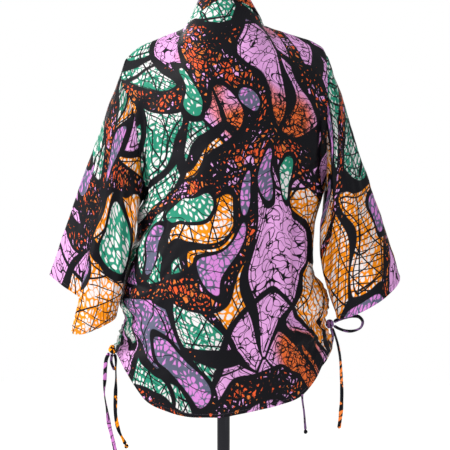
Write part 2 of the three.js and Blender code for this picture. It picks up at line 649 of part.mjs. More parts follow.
/** Takes half the seam gap off each open edge of a grid. */
function trimEdges(grid, closed) {
  const rows = grid.length;
  const columns = grid[0].length;
  const towards = (p, q) => p.clone().addScaledVector(q.clone().sub(p).normalize(), SEAM_GAP / 2);
  const trimmed = grid.map((row) => row.map((p) => p.clone()));
  for (let i = 0; i < columns; i += 1) {
    trimmed[0][i] = towards(grid[0][i], grid[1][i]);
    trimmed[rows - 1][i] = towards(grid[rows - 1][i], grid[rows - 2][i]);
  }
  if (!closed) {
    for (let j = 0; j < rows; j += 1) {
      const first = trimmed[j][0];
      const last = trimmed[j][columns - 1];
      trimmed[j][0] = towards(first, trimmed[j][1]);
      trimmed[j][columns - 1] = towards(last, trimmed[j][columns - 2]);
    }
  }
  return trimmed;
}

/** Closed wall between a sheet's outer points and the same points moved in by its thickness. */
function wallGeometry(sheet) {
  const { grid, normals, closed, thick } = sheet;
  const inner = grid.map((row, j) => row.map((p, i) => p.clone().addScaledVector(normals[j][i], -thick)));
  const skins = [trimEdges(grid, closed), trimEdges(inner, closed)];
  const rows = grid.length;
  const columns = grid[0].length;
  const positions = [];
  for (const skin of skins) skin.forEach((row) => row.forEach((p) => positions.push(p.x, p.y, p.z)));
  const at = (side, j, i) => side * rows * columns + j * columns + (i % columns);
  const faces = [];
  const quad = (a, b, c, d) => faces.push(a, b, c, a, c, d);
  const steps = closed ? columns : columns - 1;
  for (let j = 0; j < rows - 1; j += 1) {
    for (let i = 0; i < steps; i += 1) {
      quad(at(0, j, i), at(0, j, i + 1), at(0, j + 1, i + 1), at(0, j + 1, i));
      quad(at(1, j, i), at(1, j + 1, i), at(1, j + 1, i + 1), at(1, j, i + 1));
    }
  }
  for (let i = 0; i < steps; i += 1) {
    quad(at(0, 0, i), at(1, 0, i), at(1, 0, i + 1), at(0, 0, i + 1));
    quad(at(0, rows - 1, i), at(0, rows - 1, i + 1), at(1, rows - 1, i + 1), at(1, rows - 1, i));
  }
  if (!closed) {
    for (let j = 0; j < rows - 1; j += 1) {
      quad(at(0, j, 0), at(0, j + 1, 0), at(1, j + 1, 0), at(1, j, 0));
      const last = columns - 1;
      quad(at(0, j, last), at(1, j, last), at(1, j + 1, last), at(0, j + 1, last));
    }
  }
  const geometry = new THREE.BufferGeometry();
  geometry.setAttribute("position", new THREE.Float32BufferAttribute(positions, 3));
  geometry.setIndex(faces);
  geometry.computeVertexNormals();
  return geometry;
}

// ---------------------------------------------------------------- drawstrings
/** Smooth round tie along a route, with a step every `TIE_STEP` millimetres. */
function tieGeometry(route) {
  const points = route.map(([x, y, z]) => new THREE.Vector3(x, y, z));
  const path = new THREE.CatmullRomCurve3(points, false, "centripetal");
  const section = new THREE.Shape();
  for (let k = 0; k < TIE_SIDES; k += 1) {
    const turn = (2 * Math.PI * k) / TIE_SIDES;
    const x = (Math.cos(turn) * TIE_WIDTH) / 2;
    const y = (Math.sin(turn) * TIE_WIDTH) / 2;
    if (k === 0) section.moveTo(x, y);
    else section.lineTo(x, y);
  }
  section.closePath();
  const steps = Math.round(path.getLength() / TIE_STEP);
  return new THREE.ExtrudeGeometry(section, { steps, bevelEnabled: false, extrudePath: path });
}

/** Pulled-tight knot: an uneven ball about its centre. */
function knotGeometry(centre, half) {
  const geometry = new THREE.SphereGeometry(1, 14, 10);
  const place = geometry.attributes.position;
  const p = new THREE.Vector3();
  for (let i = 0; i < place.count; i += 1) {
    p.fromBufferAttribute(place, i);
    const turn = Math.atan2(p.y, p.x);
    const dent = 1 - 0.1 * (1 - p.z * p.z) * (0.5 + 0.5 * Math.cos(3 * turn + 4 * p.z));
    place.setXYZ(i, centre.x + p.x * half.x * dent, centre.y + p.y * half.y * dent, centre.z + p.z * half.z);
  }
  geometry.computeVertexNormals();
  return geometry;
}

// ---------------------------------------------------------------- dress form
/** Closed body through level sections; `power` 2 is an ellipse, less is nearer a diamond. */
function torsoGeometry() {
  const positions = [];
  const faces = [];
  const ring = (row) => {
    for (let k = 0; k < FORM_SIDES; k += 1) {
      const turn = (2 * Math.PI * k) / FORM_SIDES;
      const c = Math.cos(turn);
      const s = Math.sin(turn);
      const x = Math.sign(c) * Math.abs(c) ** (2 / row.power) * row.half;
      const y = Math.sign(s) * Math.abs(s) ** (2 / row.power) * (s > 0 ? row.back : row.front);
      positions.push(x, y + row.lean, row.z);
    }
  };
  FORM.forEach(ring);
  const rings = FORM.length;
  for (let r = 0; r < rings - 1; r += 1) {
    for (let k = 0; k < FORM_SIDES; k += 1) {
      const next = (k + 1) % FORM_SIDES;
      const a = r * FORM_SIDES + k;
      const b = r * FORM_SIDES + next;
      faces.push(a, a + FORM_SIDES, b, b, a + FORM_SIDES, b + FORM_SIDES);
    }
  }
  for (const [r, flip] of [[0, false], [rings - 1, true]]) {
    const centre = positions.length / 3;
    positions.push(0, FORM[r].lean, FORM[r].z);
    for (let k = 0; k < FORM_SIDES; k += 1) {
      const a = r * FORM_SIDES + k;
      const b = r * FORM_SIDES + ((k + 1) % FORM_SIDES);
      if (flip) faces.push(centre, b, a);
      else faces.push(centre, a, b);
    }
  }
  const geometry = new THREE.BufferGeometry();
  geometry.setAttribute("position", new THREE.Float32BufferAttribute(positions, 3));
  geometry.setIndex(faces);
  geometry.computeVertexNormals();
  return geometry;
}

/** Turned part about the pole's axis from a profile of [radius, height] points. */
function turned(profile, sides) {
  const geometry = new THREE.LatheGeometry(profile.map(([r, z]) => new THREE.Vector2(r, z)), sides);
  geometry.rotateX(Math.PI / 2);
  return geometry;
}

// ---------------------------------------------------------------- assembly
const jacket = new THREE.Group();

function addPiece(name, geometry, finish) {
  const mesh = new THREE.Mesh(geometry, new THREE.MeshStandardMaterial(finish));
  mesh.name = name;
  jacket.add(mesh);
  return mesh;
}

const back = backGrid();
const fronts = { left: frontGrid("left", back), right: frontGrid("right", back) };
const sheets = [{ name: "back", group: "body", grid: back, closed: false, thick: CLOTH, finish: COTTON }];
for (const side of ["left", "right"]) {
  const front = fronts[side];
  const sleeve = sleeveGrid(side, armhole(side, back, front));
  const band = bandGrid(side, back, front);
  const panel = { closed: false, thick: CLOTH, finish: COTTON };
  sheets.push({ ...panel, name: `front_${side}`, group: "body", grid: front });
  sheets.push({ ...panel, name: `sleeve_${side}`, group: "sleeve", grid: sleeve, closed: true });
  sheets.push({ ...panel, name: `neckband_${side}`, group: "band", grid: band, thick: BAND_CLOTH,
    finish: COTTON_DARK });
}
shareNormals(sheets);
for (const sheet of sheets) addPiece(sheet.name, wallGeometry(sheet), sheet.finish);

for (const knot of KNOTS) addPiece(knot.name, knotGeometry(knot.centre, knot.half), COTTON_DARK);
for (const tie of TIES) addPiece(tie.name, tieGeometry(tie.route), COTTON_DARK);

const capBase = FORM[0].z + PART_GAP;
const capShape = [
  [0, capBase], [40, capBase], [42, capBase + 3], [40, capBase + 6], [22, capBase + 9], [10, capBase + 11],
  [9, capBase + 15], [12, capBase + 21], [9, capBase + 27], [0, capBase + 29],
];
const collarTop = FORM[FORM.length - 1].z - PART_GAP;
const collarShape = [
  [0, COLLAR_FOOT], [20, COLLAR_FOOT], [22, COLLAR_FOOT + 3], [22, collarTop - 6], [30, collarTop - 4],
  [30, collarTop], [0, collarTop],
];
const poleShape = [
  [0, HUB_TOP + PART_GAP], [POLE_RADIUS, HUB_TOP + PART_GAP],
  [POLE_RADIUS, COLLAR_FOOT - PART_GAP], [0, COLLAR_FOOT - PART_GAP],
];
const baseShape = [
  [0, 0], [BASE_RADIUS - 3, 0], [BASE_RADIUS, 3], [BASE_RADIUS, 8], [BASE_RADIUS - 4, 11],
  [60, 15], [26, 22], [22, HUB_TOP - 3], [19, HUB_TOP], [0, HUB_TOP],
];
addPiece("form_torso", torsoGeometry(), JERSEY);
addPiece("form_cap", turned(capShape, 32), METAL).position.y = FORM[0].lean;
addPiece("form_collar", turned(collarShape, 32), METAL);
addPiece("form_pole", turned(poleShape, 32), METAL);
addPiece("form_base", turned(baseShape, 64), METAL);

export default jacket;
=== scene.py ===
"""Kimono jacket of wax-printed cotton on a limbless dress form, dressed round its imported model.

Lengths in the tables and in the cloth's shaping are millimetres, as a cutter gives them, and a
mesh is in metres. +Z is up and the wearer faces -Y, so +X is the wearer's left and the back
faces +Y. The origin is the pole's axis at the floor.
"""

import logging
import math
from abc import ABC, abstractmethod
from collections import defaultdict
from collections.abc import Iterator
from contextlib import contextmanager
from dataclasses import dataclass, field
from enum import Enum

import bpy
import numpy as np
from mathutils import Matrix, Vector


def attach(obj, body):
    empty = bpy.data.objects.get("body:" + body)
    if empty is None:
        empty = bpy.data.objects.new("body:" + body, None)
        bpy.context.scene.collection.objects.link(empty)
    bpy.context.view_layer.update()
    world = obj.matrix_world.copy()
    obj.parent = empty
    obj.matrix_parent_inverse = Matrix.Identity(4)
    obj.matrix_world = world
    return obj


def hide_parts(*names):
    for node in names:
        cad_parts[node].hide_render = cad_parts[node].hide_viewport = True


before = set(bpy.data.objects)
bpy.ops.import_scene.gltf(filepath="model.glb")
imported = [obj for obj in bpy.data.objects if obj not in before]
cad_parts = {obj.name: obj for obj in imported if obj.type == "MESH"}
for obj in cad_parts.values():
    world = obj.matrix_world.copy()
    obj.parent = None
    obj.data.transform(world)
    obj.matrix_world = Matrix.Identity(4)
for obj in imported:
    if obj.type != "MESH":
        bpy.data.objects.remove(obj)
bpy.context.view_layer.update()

Array = np.ndarray
Numbers = float | Array
Point = tuple[float, float, float]
Rows = tuple[tuple[float, ...], ...]
Piece = bpy.types.Object
Material = bpy.types.Material
Node = bpy.types.Node
Socket = bpy.types.NodeSocket
log = logging.getLogger("jacket")

MM = 0.001
BODY = "root"


class Side(Enum):
    """The wearer's two sides; the value is the sign of X there."""

    LEFT = 1
    RIGHT = -1

    @property
    def word(self) -> str:
        """The side's name as piece names spell it."""
        return self.name.lower()

    @property
    def end(self) -> int:
        """Index of the back's column at this side seam, and of a front's column at its opening."""
        return -1 if self is Side.LEFT else 0


LEFT, RIGHT = Side.LEFT, Side.RIGHT


# ---- small helpers
def lerp(a: Numbers, b: Numbers, t: Numbers) -> Numbers:
    """Value a share `t` of the way from `a` to `b`."""
    return a + (b - a) * t


def smooth(t: Numbers) -> Numbers:
    """Eased step from 0 to 1 as `t` goes from 0 to 1."""
    c = np.clip(t, 0.0, 1.0)
    return c * c * (3 - 2 * c)


def hump(distance: Numbers, width: float) -> Numbers:
    """Soft bump of height 1 at distance 0, about `width` to each side."""
    return np.exp(-((np.asarray(distance) / width) ** 2))


def unit(vectors: Array) -> Array:
    """The same vectors at length 1."""
    return vectors / np.maximum(np.linalg.norm(vectors, axis=-1, keepdims=True), 1e-12)


def cubic(t: Numbers) -> tuple[Numbers, Numbers, Numbers, Numbers]:
    """Weights of a smooth step's start, the slope there, its end and the slope there."""
    t2, t3 = t * t, t * t * t
    return 2 * t3 - 3 * t2 + 1, t3 - 2 * t2 + t, 3 * t2 - 2 * t3, t3 - t2


def hermite(at: Array, values: Array, where: Numbers) -> Array:
    """Reads a smooth curve through given values.

    Args:
        at: rising places of the values.
        values: one value, or one array, for each place.
        where: places to read; beyond the ends the end value holds.

    Returns:
        The curve's values, in the shape of `where` and then of one value.
    """
    last = len(at) - 1
    goal = np.clip(np.asarray(where, float), at[0], at[-1])
    cell = np.clip(np.searchsorted(at, goal) - 1, 0, last - 1)
    low = np.maximum(np.arange(last + 1) - 1, 0)
    high = np.minimum(np.arange(last + 1) + 1, last)
    spread = (at[high] - at[low]).reshape((-1,) + (1,) * (values.ndim - 1))
    slope = (values[high] - values[low]) / spread
    wide = goal.shape + (1,) * (values.ndim - 1)
    step = (at[cell + 1] - at[cell]).reshape(wide)
    start, start_bend, end, end_bend = cubic((goal - at[cell]).reshape(wide) / step)
    first = start * values[cell] + start_bend * step * slope[cell]
    return first + (end * values[cell + 1] + end_bend * step * slope[cell + 1])


@dataclass(frozen=True)
class Table:
    """Rows of named columns, read smoothly along the first column."""

    names: str
    rows: Rows

    def column(self, name: str) -> Array:
        """All the values of one column."""
        return np.array([row[self.names.split().index(name)] for row in self.rows], float)

    def read(self, name: str, where: Numbers) -> Array:
        """Reads a column at places along the first column.

        Args:
            name: the column to read.
            where: places along the first column.

        Returns:
            The column's values there.
        """
        at = self.column(self.names.split()[0])
        if at[-1] < at[0]:
            return hermite(-at, self.column(name), -np.asarray(where, float))
        return hermite(at, self.column(name), where)


def soft_noise(points: Array, scale: float, seed: int) -> Array:
    """Smooth unevenness in space.

    Args:
        points: where it is read, in millimetres.
        scale: about the distance from a high to a low.
        seed: picks one unevenness.

    Returns:
        Values about -1 to 1, in the shape of the points.
    """
    rng = np.random.default_rng(seed)
    total = np.zeros(points.shape[:-1])
    waves = 9
    for _ in range(waves):
        way = unit(rng.normal(size=3)) * rng.uniform(0.6, 1.5) * math.pi / scale
        total += np.sin(points @ way + rng.uniform(0, 2 * math.pi))
    return total / math.sqrt(waves)


# ---- sizes of the jacket
NECK_SHARE = 0.38
NECK_COLUMNS = 4
SHOULDER_COLUMNS = 10
ARM_ROWS = 14
SIDE_ROWS = 19
ROWS = ARM_ROWS + SIDE_ROWS
SLEEVE_RINGS = 16
LOOP = 2 * ARM_ROWS
BAND_STEPS = 3
SHOULDER_ROUND = 88
RELAX = 6
CENTRE_UNDERARM = 1046
BAND_WIDTH = 46
BAND_FLARE = {LEFT: 0.48, RIGHT: 0.68}
FRONT_EDGE = 66
FRONT_START = 0.3
WRAP_SHOULDER = math.radians(66)
WRAP_SIDE = math.radians(90)
HEM_CLOSING = 0.28
UNDERARM_DEPTH = 6
LAP_PLACE = 0.82
LAP_WIDE = 0.14
LAP_LIFT = 0.5
WRAP_EARLY = 3
WRAP_ROWS = 8
TOP_HOLD = 0.7
TOP_PLAIN = 3
FRONT_EDGE_BACK = 6
FOLD_FADE = 0.2
FOLD_END = 0.12
FOLD_EASE = 0.3
FOLD_KEEP = 0.2
TOP_DROP = 0.8
SIDE_POWER = 5
OPENING_POWER = 6
EACH_ROW = np.arange(ROWS + 1.0)[:, None]

NAPE = (9.5, 60.0, 1431.0)
NECK_POINT = {LEFT: (81.0, 5.0, 1383.0), RIGHT: (-85.0, 5.0, 1388.0)}
NECK_SWEEP = {LEFT: 1.2, RIGHT: 4.5}
SHOULDER = {
    LEFT: Table(
        "along x z",
        ((0, 81, 1383), (0.25, 112, 1369), (0.5, 143, 1356), (0.75, 177, 1342), (1, 205, 1318)),
    ),
    RIGHT: Table(
        "along x z",
        (
            (0, -85, 1388), (0.25, -118, 1376), (0.5, -150, 1366), (0.75, -184, 1356),
            (0.88, -206, 1341), (1, -215, 1324),
        ),
    ),
}
# Outer edge of the body panels: distance out and depth, on the back and on the front.
EDGE = {
    LEFT: Table(
        "z backOut back frontOut front",
        (
            (1318, 205, 0, 205, 0), (1264, 213, 34, 208, -42), (1230, 195, 54, 203, -54),
            (1188, 183, 64, 194, -60), (1125, 176, 60, 184, -54), (1060, 169, 38, 174, -30),
            (1018, 168, 6, 168, 6), (985, 175, 2, 175, 2), (950, 188, 0, 188, 0), (900, 202, 0, 202, 0),
            (850, 210, 0, 210, 0), (797, 215, 0, 215, 0), (768, 208, 0, 208, 0), (745, 220, 0, 220, 0),
            (720, 229, 0, 229, 0),
        ),
    ),
    RIGHT: Table(
        "z backOut back frontOut front",
        (
            (1324, 215, 0, 215, 0), (1270, 217, 40, 214, -42), (1200, 215, 58, 212, -56),
            (1130, 215, 46, 214, -38), (1090, 216, 27, 216, -17), (1062, 217, 6, 217, 6),
            (1010, 202, 5, 202, 5), (960, 191, 4, 191, 4), (895, 188, 2, 188, 2), (868, 195, 0, 195, 0),
            (838, 214, 0, 214, 0), (812, 222, 0, 222, 0), (786, 219, 0, 219, 0), (761, 213, 0, 213, 0),
            (741, 226, 0, 226, 0), (714, 229, 0, 229, 0),
        ),
    ),
}
UNDERARM = {LEFT: 1018, RIGHT: 1062}
DEPTH = Table(
    "z back front",
    (
        (1431, 74, -60), (1340, 116, -104), (1250, 131, -126), (1150, 133, -136), (1040, 128, -136),
        (900, 127, -132), (780, 126, -128), (660, 116, -118), (573, 98, -104),
    ),
)
EDGE_DEPTH = Table("z back front", ((1322, 0, 0), (1240, 34, -32), (1120, 30, -28), (980, 0, 0)))
BACK_HEM = Table(
    "across left right",
    (
        (0, 575, 575), (0.2, 575, 589), (0.4, 592, 604), (0.5, 608, 617), (0.6, 638, 643),
        (0.7, 668, 676), (0.8, 693, 698), (1, 720, 714),
    ),
)
FRONT_HEM = Table(
    "across left right",
    ((0, 606, 606), (0.45, 626, 626), (0.75, 680, 676), (1, 720, 714)),
)
HEM = {"back": BACK_HEM, "front": FRONT_HEM}
INNER_SHARE = {"back": 0.0, "front": FRONT_START}
# Sleeve sections from the armhole (0) to the cuff (1).
SLEEVE = {
    LEFT: Table(
        "at topX topZ underX underZ back front hang tuck lap",
        (
            (0.18, 229, 1250, 189, 986, 62, 56, 0, 0, 16),
            (0.42, 272, 1132, 208, 936, 60, 54, 0, 0.16, 29),
            (0.7, 319, 1001, 219, 872, 58, 52, 3, 0.55, 24),
            (1, 364, 862, 229, 801, 58, 50, 8, 1, 20),
        ),
    ),
    RIGHT: Table(
        "at topX topZ underX underZ back front hang tuck lap",
        (
            (0.18, -240, 1262, -211, 1016, 62, 58, 0, 0, 0),
            (0.42, -277, 1142, -202, 950, 60, 56, 2, 0, 0),
            (0.7, -325, 1002, -209, 866, 58, 56, 8, 0, 0),
            (1, -371, 858, -238, 778, 58, 56, 20, 0, 0),
        ),
    ),
}
TUCK = Table(
    "t place depth drop",
    (
        (0, 0, 0, 0), (0.13, 0.2, 20, 9), (0.25, 0.42, 28, 15), (0.35, 0.53, 33, 26),
        (0.45, 0.44, 50, 60), (0.54, 0.36, 66, 92), (0.66, 0.55, 76, 84), (0.83, 0.83, 52, 40),
        (1, 1, 0, 0),
    ),
)

# Straight folds: both ends (x, z), half width and how far the cloth stands out or sinks in.
BACK_FOLDS: Rows = (
    (166, 1215, 160, 1030, 10, -9), (150, 1205, 146, 1010, 12, 4), (156, 1010, 196, 962, 11, 9),
    (150, 984, 190, 934, 13, -11), (128, 985, 176, 905, 13, 6), (-204, 1185, -204, 1075, 9, -11),
    (-192, 1180, -190, 1010, 11, 5), (-142, 1068, -190, 1122, 9, 5), (-146, 1062, -194, 1094, 8, -6),
    (-140, 1060, -148, 915, 12, -7), (-148, 915, -156, 745, 13, -8), (-120, 1020, -126, 800, 18, 5),
    (-214, 826, -150, 812, 17, 8), (-206, 872, -160, 866, 12, -7), (-214, 762, -140, 776, 11, -10),
    (-212, 744, -150, 728, 9, 6), (-206, 722, -130, 690, 12, -5), (212, 800, 172, 824, 11, 8),
    (208, 770, 140, 790, 12, -9), (214, 752, 160, 758, 9, 5), (222, 728, 150, 720, 11, -7),
    (220, 708, 150, 672, 12, 5), (96, 760, 70, 610, 22, -5), (-60, 780, -40, 610, 24, -4),
    (20, 960, 10, 620, 30, 4),
)
FRONT_FOLDS: Rows = (
    (170, 1180, 130, 990, 16, -7), (150, 1060, 120, 860, 18, 6), (110, 1180, 96, 760, 20, -5),
    (205, 816, 130, 800, 15, 7), (205, 768, 120, 780, 12, -8), (210, 736, 130, 712, 11, 5),
    (120, 740, 110, 640, 18, -4),
)
# Finer creases that only the cloth has, in the same form.
BACK_CREASES: Rows = (
    (157, 1150, 151, 1012, 4, 3.4), (170, 1140, 164, 1030, 6, -4.0), (-142, 1046, -147, 850, 3.5, -4.6),
    (-134, 1050, -140, 850, 5, 2.6), (118, 1120, 128, 962, 7, -2.6), (106, 1110, 116, 950, 8, 2.0),
    (90, 905, 166, 800, 6, -2.8), (76, 880, 150, 790, 7, 2.0), (-88, 1000, -100, 830, 9, -2.2),
    (-40, 640, -130, 690, 9, -2.0), (140, 1190, 134, 1060, 6, -3.5), (172, 1120, 166, 1035, 5, -4.1),
    (158, 1046, 190, 990, 5, -4.3), (138, 1006, 172, 952, 6, 3.5), (118, 980, 158, 892, 6, -4.1),
    (104, 946, 150, 866, 7, 2.7), (186, 912, 132, 842, 7, -3.2), (-150, 1072, -186, 1134, 5, -3.8),
    (-144, 1066, -196, 1108, 5, 3.2), (-140, 1056, -192, 1076, 5, -3.2),
    (-136, 1044, -160, 1012, 6, 3.0), (-132, 1064, -108, 1104, 7, -2.4),
    (-146, 1030, -150, 880, 5, -4.6), (-158, 1000, -166, 862, 6, 3.5), (-136, 960, -132, 820, 8, 2.7),
    (-170, 950, -182, 880, 6, -3.5), (-196, 846, -150, 846, 6, -3.2), (-204, 800, -164, 794, 5, 3.0),
    (-120, 770, -88, 700, 8, -2.7), (120, 774, 92, 716, 8, -2.4), (190, 846, 150, 836, 7, -3.0),
    (60, 1300, 92, 1240, 12, -2.2), (-70, 1310, -104, 1250, 12, -2.2), (34, 1150, 40, 990, 16, 2.2),
    (-38, 1180, -30, 1010, 16, -2.0), (14, 860, -6, 700, 15, -2.2),
)
FRONT_CREASES: Rows = (
    (188, 1140, 150, 1040, 7, -3.5), (160, 1010, 120, 930, 8, 3.0), (176, 930, 130, 850, 8, -3.2),
    (196, 790, 150, 786, 6, 3.0), (196, 752, 150, 744, 6, -3.0), (92, 1240, 100, 1090, 12, 2.2),
    (88, 900, 96, 720, 12, -2.4),
)
# Long folds of a sleeve: place round it at both ends, from and to along it, half width and
# how far out.
SLEEVE_FOLDS: dict[Side, Rows] = {
    LEFT: (
        (0.12, 0.12, 0.1, 0.7, 0.035, 4), (0.33, 0.33, 0.15, 0.9, 0.04, -6),
        (0.42, 0.42, 0.3, 1, 0.035, 5), (0.66, 0.66, 0.1, 1, 0.05, -6), (0.82, 0.82, 0.2, 1, 0.05, 5),
    ),
    RIGHT: (
        (0.1, 0.1, 0.15, 0.8, 0.035, -4), (0.22, 0.22, 0.2, 1, 0.045, 5),
        (0.34, 0.34, 0.05, 1, 0.04, -6), (0.44, 0.44, 0.2, 1, 0.03, 5), (0.66, 0.66, 0.1, 1, 0.05, -6),
        (0.83, 0.83, 0.2, 1, 0.05, 5),
    ),
}
SLEEVE_CREASES: dict[Side, Rows] = {
    LEFT: (
        (0.06, 0.06, 0.3, 0.95, 0.02, -1.8), (0.2, 0.2, 0.05, 0.5, 0.02, -2.4),
        (0.27, 0.27, 0.2, 0.8, 0.018, 2.0), (0.38, 0.38, 0.05, 0.6, 0.016, -2.6),
        (0.74, 0.74, 0.2, 0.9, 0.02, 2.2), (0.92, 0.92, 0.1, 0.7, 0.02, -2.2),
        (0.3, 0.4, 0.1, 0.8, 0.014, 3.2), (0.335, 0.43, 0.1, 0.8, 0.016, -4.4),
        (0.14, 0.12, 0.0, 0.6, 0.02, -3.0),
    ),
    RIGHT: (
        (0.05, 0.05, 0.3, 0.9, 0.02, 1.8), (0.16, 0.16, 0.1, 0.7, 0.018, -2.2),
        (0.28, 0.28, 0.05, 0.6, 0.018, 2.2), (0.39, 0.39, 0.1, 0.9, 0.016, -2.6),
        (0.75, 0.75, 0.15, 0.9, 0.02, 2.2), (0.91, 0.91, 0.1, 0.8, 0.02, -2.0),
        (0.29, 0.46, 0.34, 1, 0.012, 3.4), (0.32, 0.48, 0.34, 1, 0.016, -5.0),
        (0.14, 0.2, 0.0, 0.55, 0.022, -3.2),
    ),
}


# ---- grids of points
def normals_of(grid: Array, closed: bool) -> Array:
    """Outward unit normals of a grid of points, rows downward.

    Args:
        grid: points, rows by columns by 3.
        closed: whether the last column joins the first.

    Returns:
        A normal for each point.
    """
    padded = np.pad(grid, ((1, 1), (0, 0), (0, 0)), mode="edge")
    down = padded[2:] - padded[:-2]
    if closed:
        across = np.roll(grid, -1, axis=1) - np.roll(grid, 1, axis=1)
    else:
        wide = np.pad(grid, ((0, 0), (1, 1), (0, 0)), mode="edge")
        across = wide[:, 2:] - wide[:, :-2]
    return unit(np.cross(across, down))


def relax(grid: Array, times: int) -> Array:
    """Eases a grid like hanging cloth: inner points settle towards their neighbours.

    Args:
        grid: rows by columns by 3.
        times: how often the points settle.

    Returns:
        The eased grid.
    """
    eased = grid.copy()
    for _ in range(times):
        mean = (eased[:-2, 1:-1] + eased[2:, 1:-1] + eased[1:-1, :-2] + eased[1:-1, 2:]) / 4
        settled = eased.copy()
        settled[1:-1, 1:-1] = (eased[1:-1, 1:-1] + mean) / 2
        eased = settled
    return eased


def fold_out(folds: Rows, x: Array, z: Array) -> Array:
    """How far straight folds push the cloth out.

    Args:
        folds: the folds.
        x: the points' places across.
        z: the points' heights.

    Returns:
        The push at each point.
    """
    total = np.zeros_like(x)
    for x0, z0, x1, z1, wide, out in folds:
        dx, dz = x1 - x0, z1 - z0
        long = math.hypot(dx, dz)
        t = ((x - x0) * dx + (z - z0) * dz) / long**2
        off = np.abs((x - x0) * dz - (z - z0) * dx) / long
        fade = smooth((t + FOLD_END) / FOLD_EASE) * smooth((1 + FOLD_END - t) / FOLD_EASE)
        beyond = (t < 0) | (t > 1)
        total += out * hump(off, wide) * np.where(beyond, fade, np.maximum(fade, FOLD_KEEP))
    return total


def sleeve_fold(folds: Rows, turn: Array, at: Array) -> Array:
    """How far a sleeve's long folds push its cloth out.

    Args:
        folds: the folds.
        turn: place round the sleeve, 0 at the shoulder line and 0.5 at the underarm.
        at: place along the sleeve, 0 at the armhole and 1 at the cuff.

    Returns:
        The push at each point.
    """
    total = np.zeros(np.broadcast(turn, at).shape)
    for place, end_place, start, end, wide, out in folds:
        stop = 1.0 if end >= 1 else smooth((end - at) / FOLD_FADE)
        middle = lerp(place, end_place, np.clip((at - start) / (end - start), 0, 1))
        shown = smooth((at - start) / FOLD_FADE) * stop
        total = total + out * hump(turn - middle, wide) * shown
    return total


def spline_weights(count: int, at: Array, closed: bool) -> Array:
    """Weights that read a line of points at places between them, on one smooth curve.

    Args:
        count: number of points.
        at: places to read, 0 at the first point and 1 at the next.
        closed: whether the last point joins the first.

    Returns:
        A matrix, a row for each place and a column for each point.
    """
    cell = np.floor(at + 1e-9).astype(int)
    if not closed:
        cell = np.clip(cell, 0, count - 2)
    t = (at - cell)[:, None]
    weights = (
        (-t + 2 * t**2 - t**3) / 2,
        (2 - 5 * t**2 + 3 * t**3) / 2,
        (t + 4 * t**2 - 3 * t**3) / 2,
        (-(t**2) + t**3) / 2,
    )
    knots = np.eye(count)
    if closed:
        return sum(weight * knots[(cell + k - 1) % count] for k, weight in enumerate(weights))
    knots = np.concatenate([[2 * knots[0] - knots[1]], knots, [2 * knots[-1] - knots[-2]]])
    return sum(weight * knots[cell + k] for k, weight in enumerate(weights))


def steps(count: int) -> Array:
    """Places from 0 to 1 in equal steps."""
    return np.arange(count + 1) / count


def fine_places(cuts: list[int]) -> Array:
    """Places that cut each interval of a grid into the given number of steps."""
    parts = [k + np.arange(n) / n for k, n in enumerate(cuts)]
    return np.concatenate([*parts, [float(len(cuts))]])


# ---- the jacket's form
@dataclass
class Panel:
    """Coarse grid of one cloth piece, with the normals that it shares with its neighbours."""

    name: str
    group: str
    grid: Array
    closed: bool = False
    normals: Array = field(init=False)


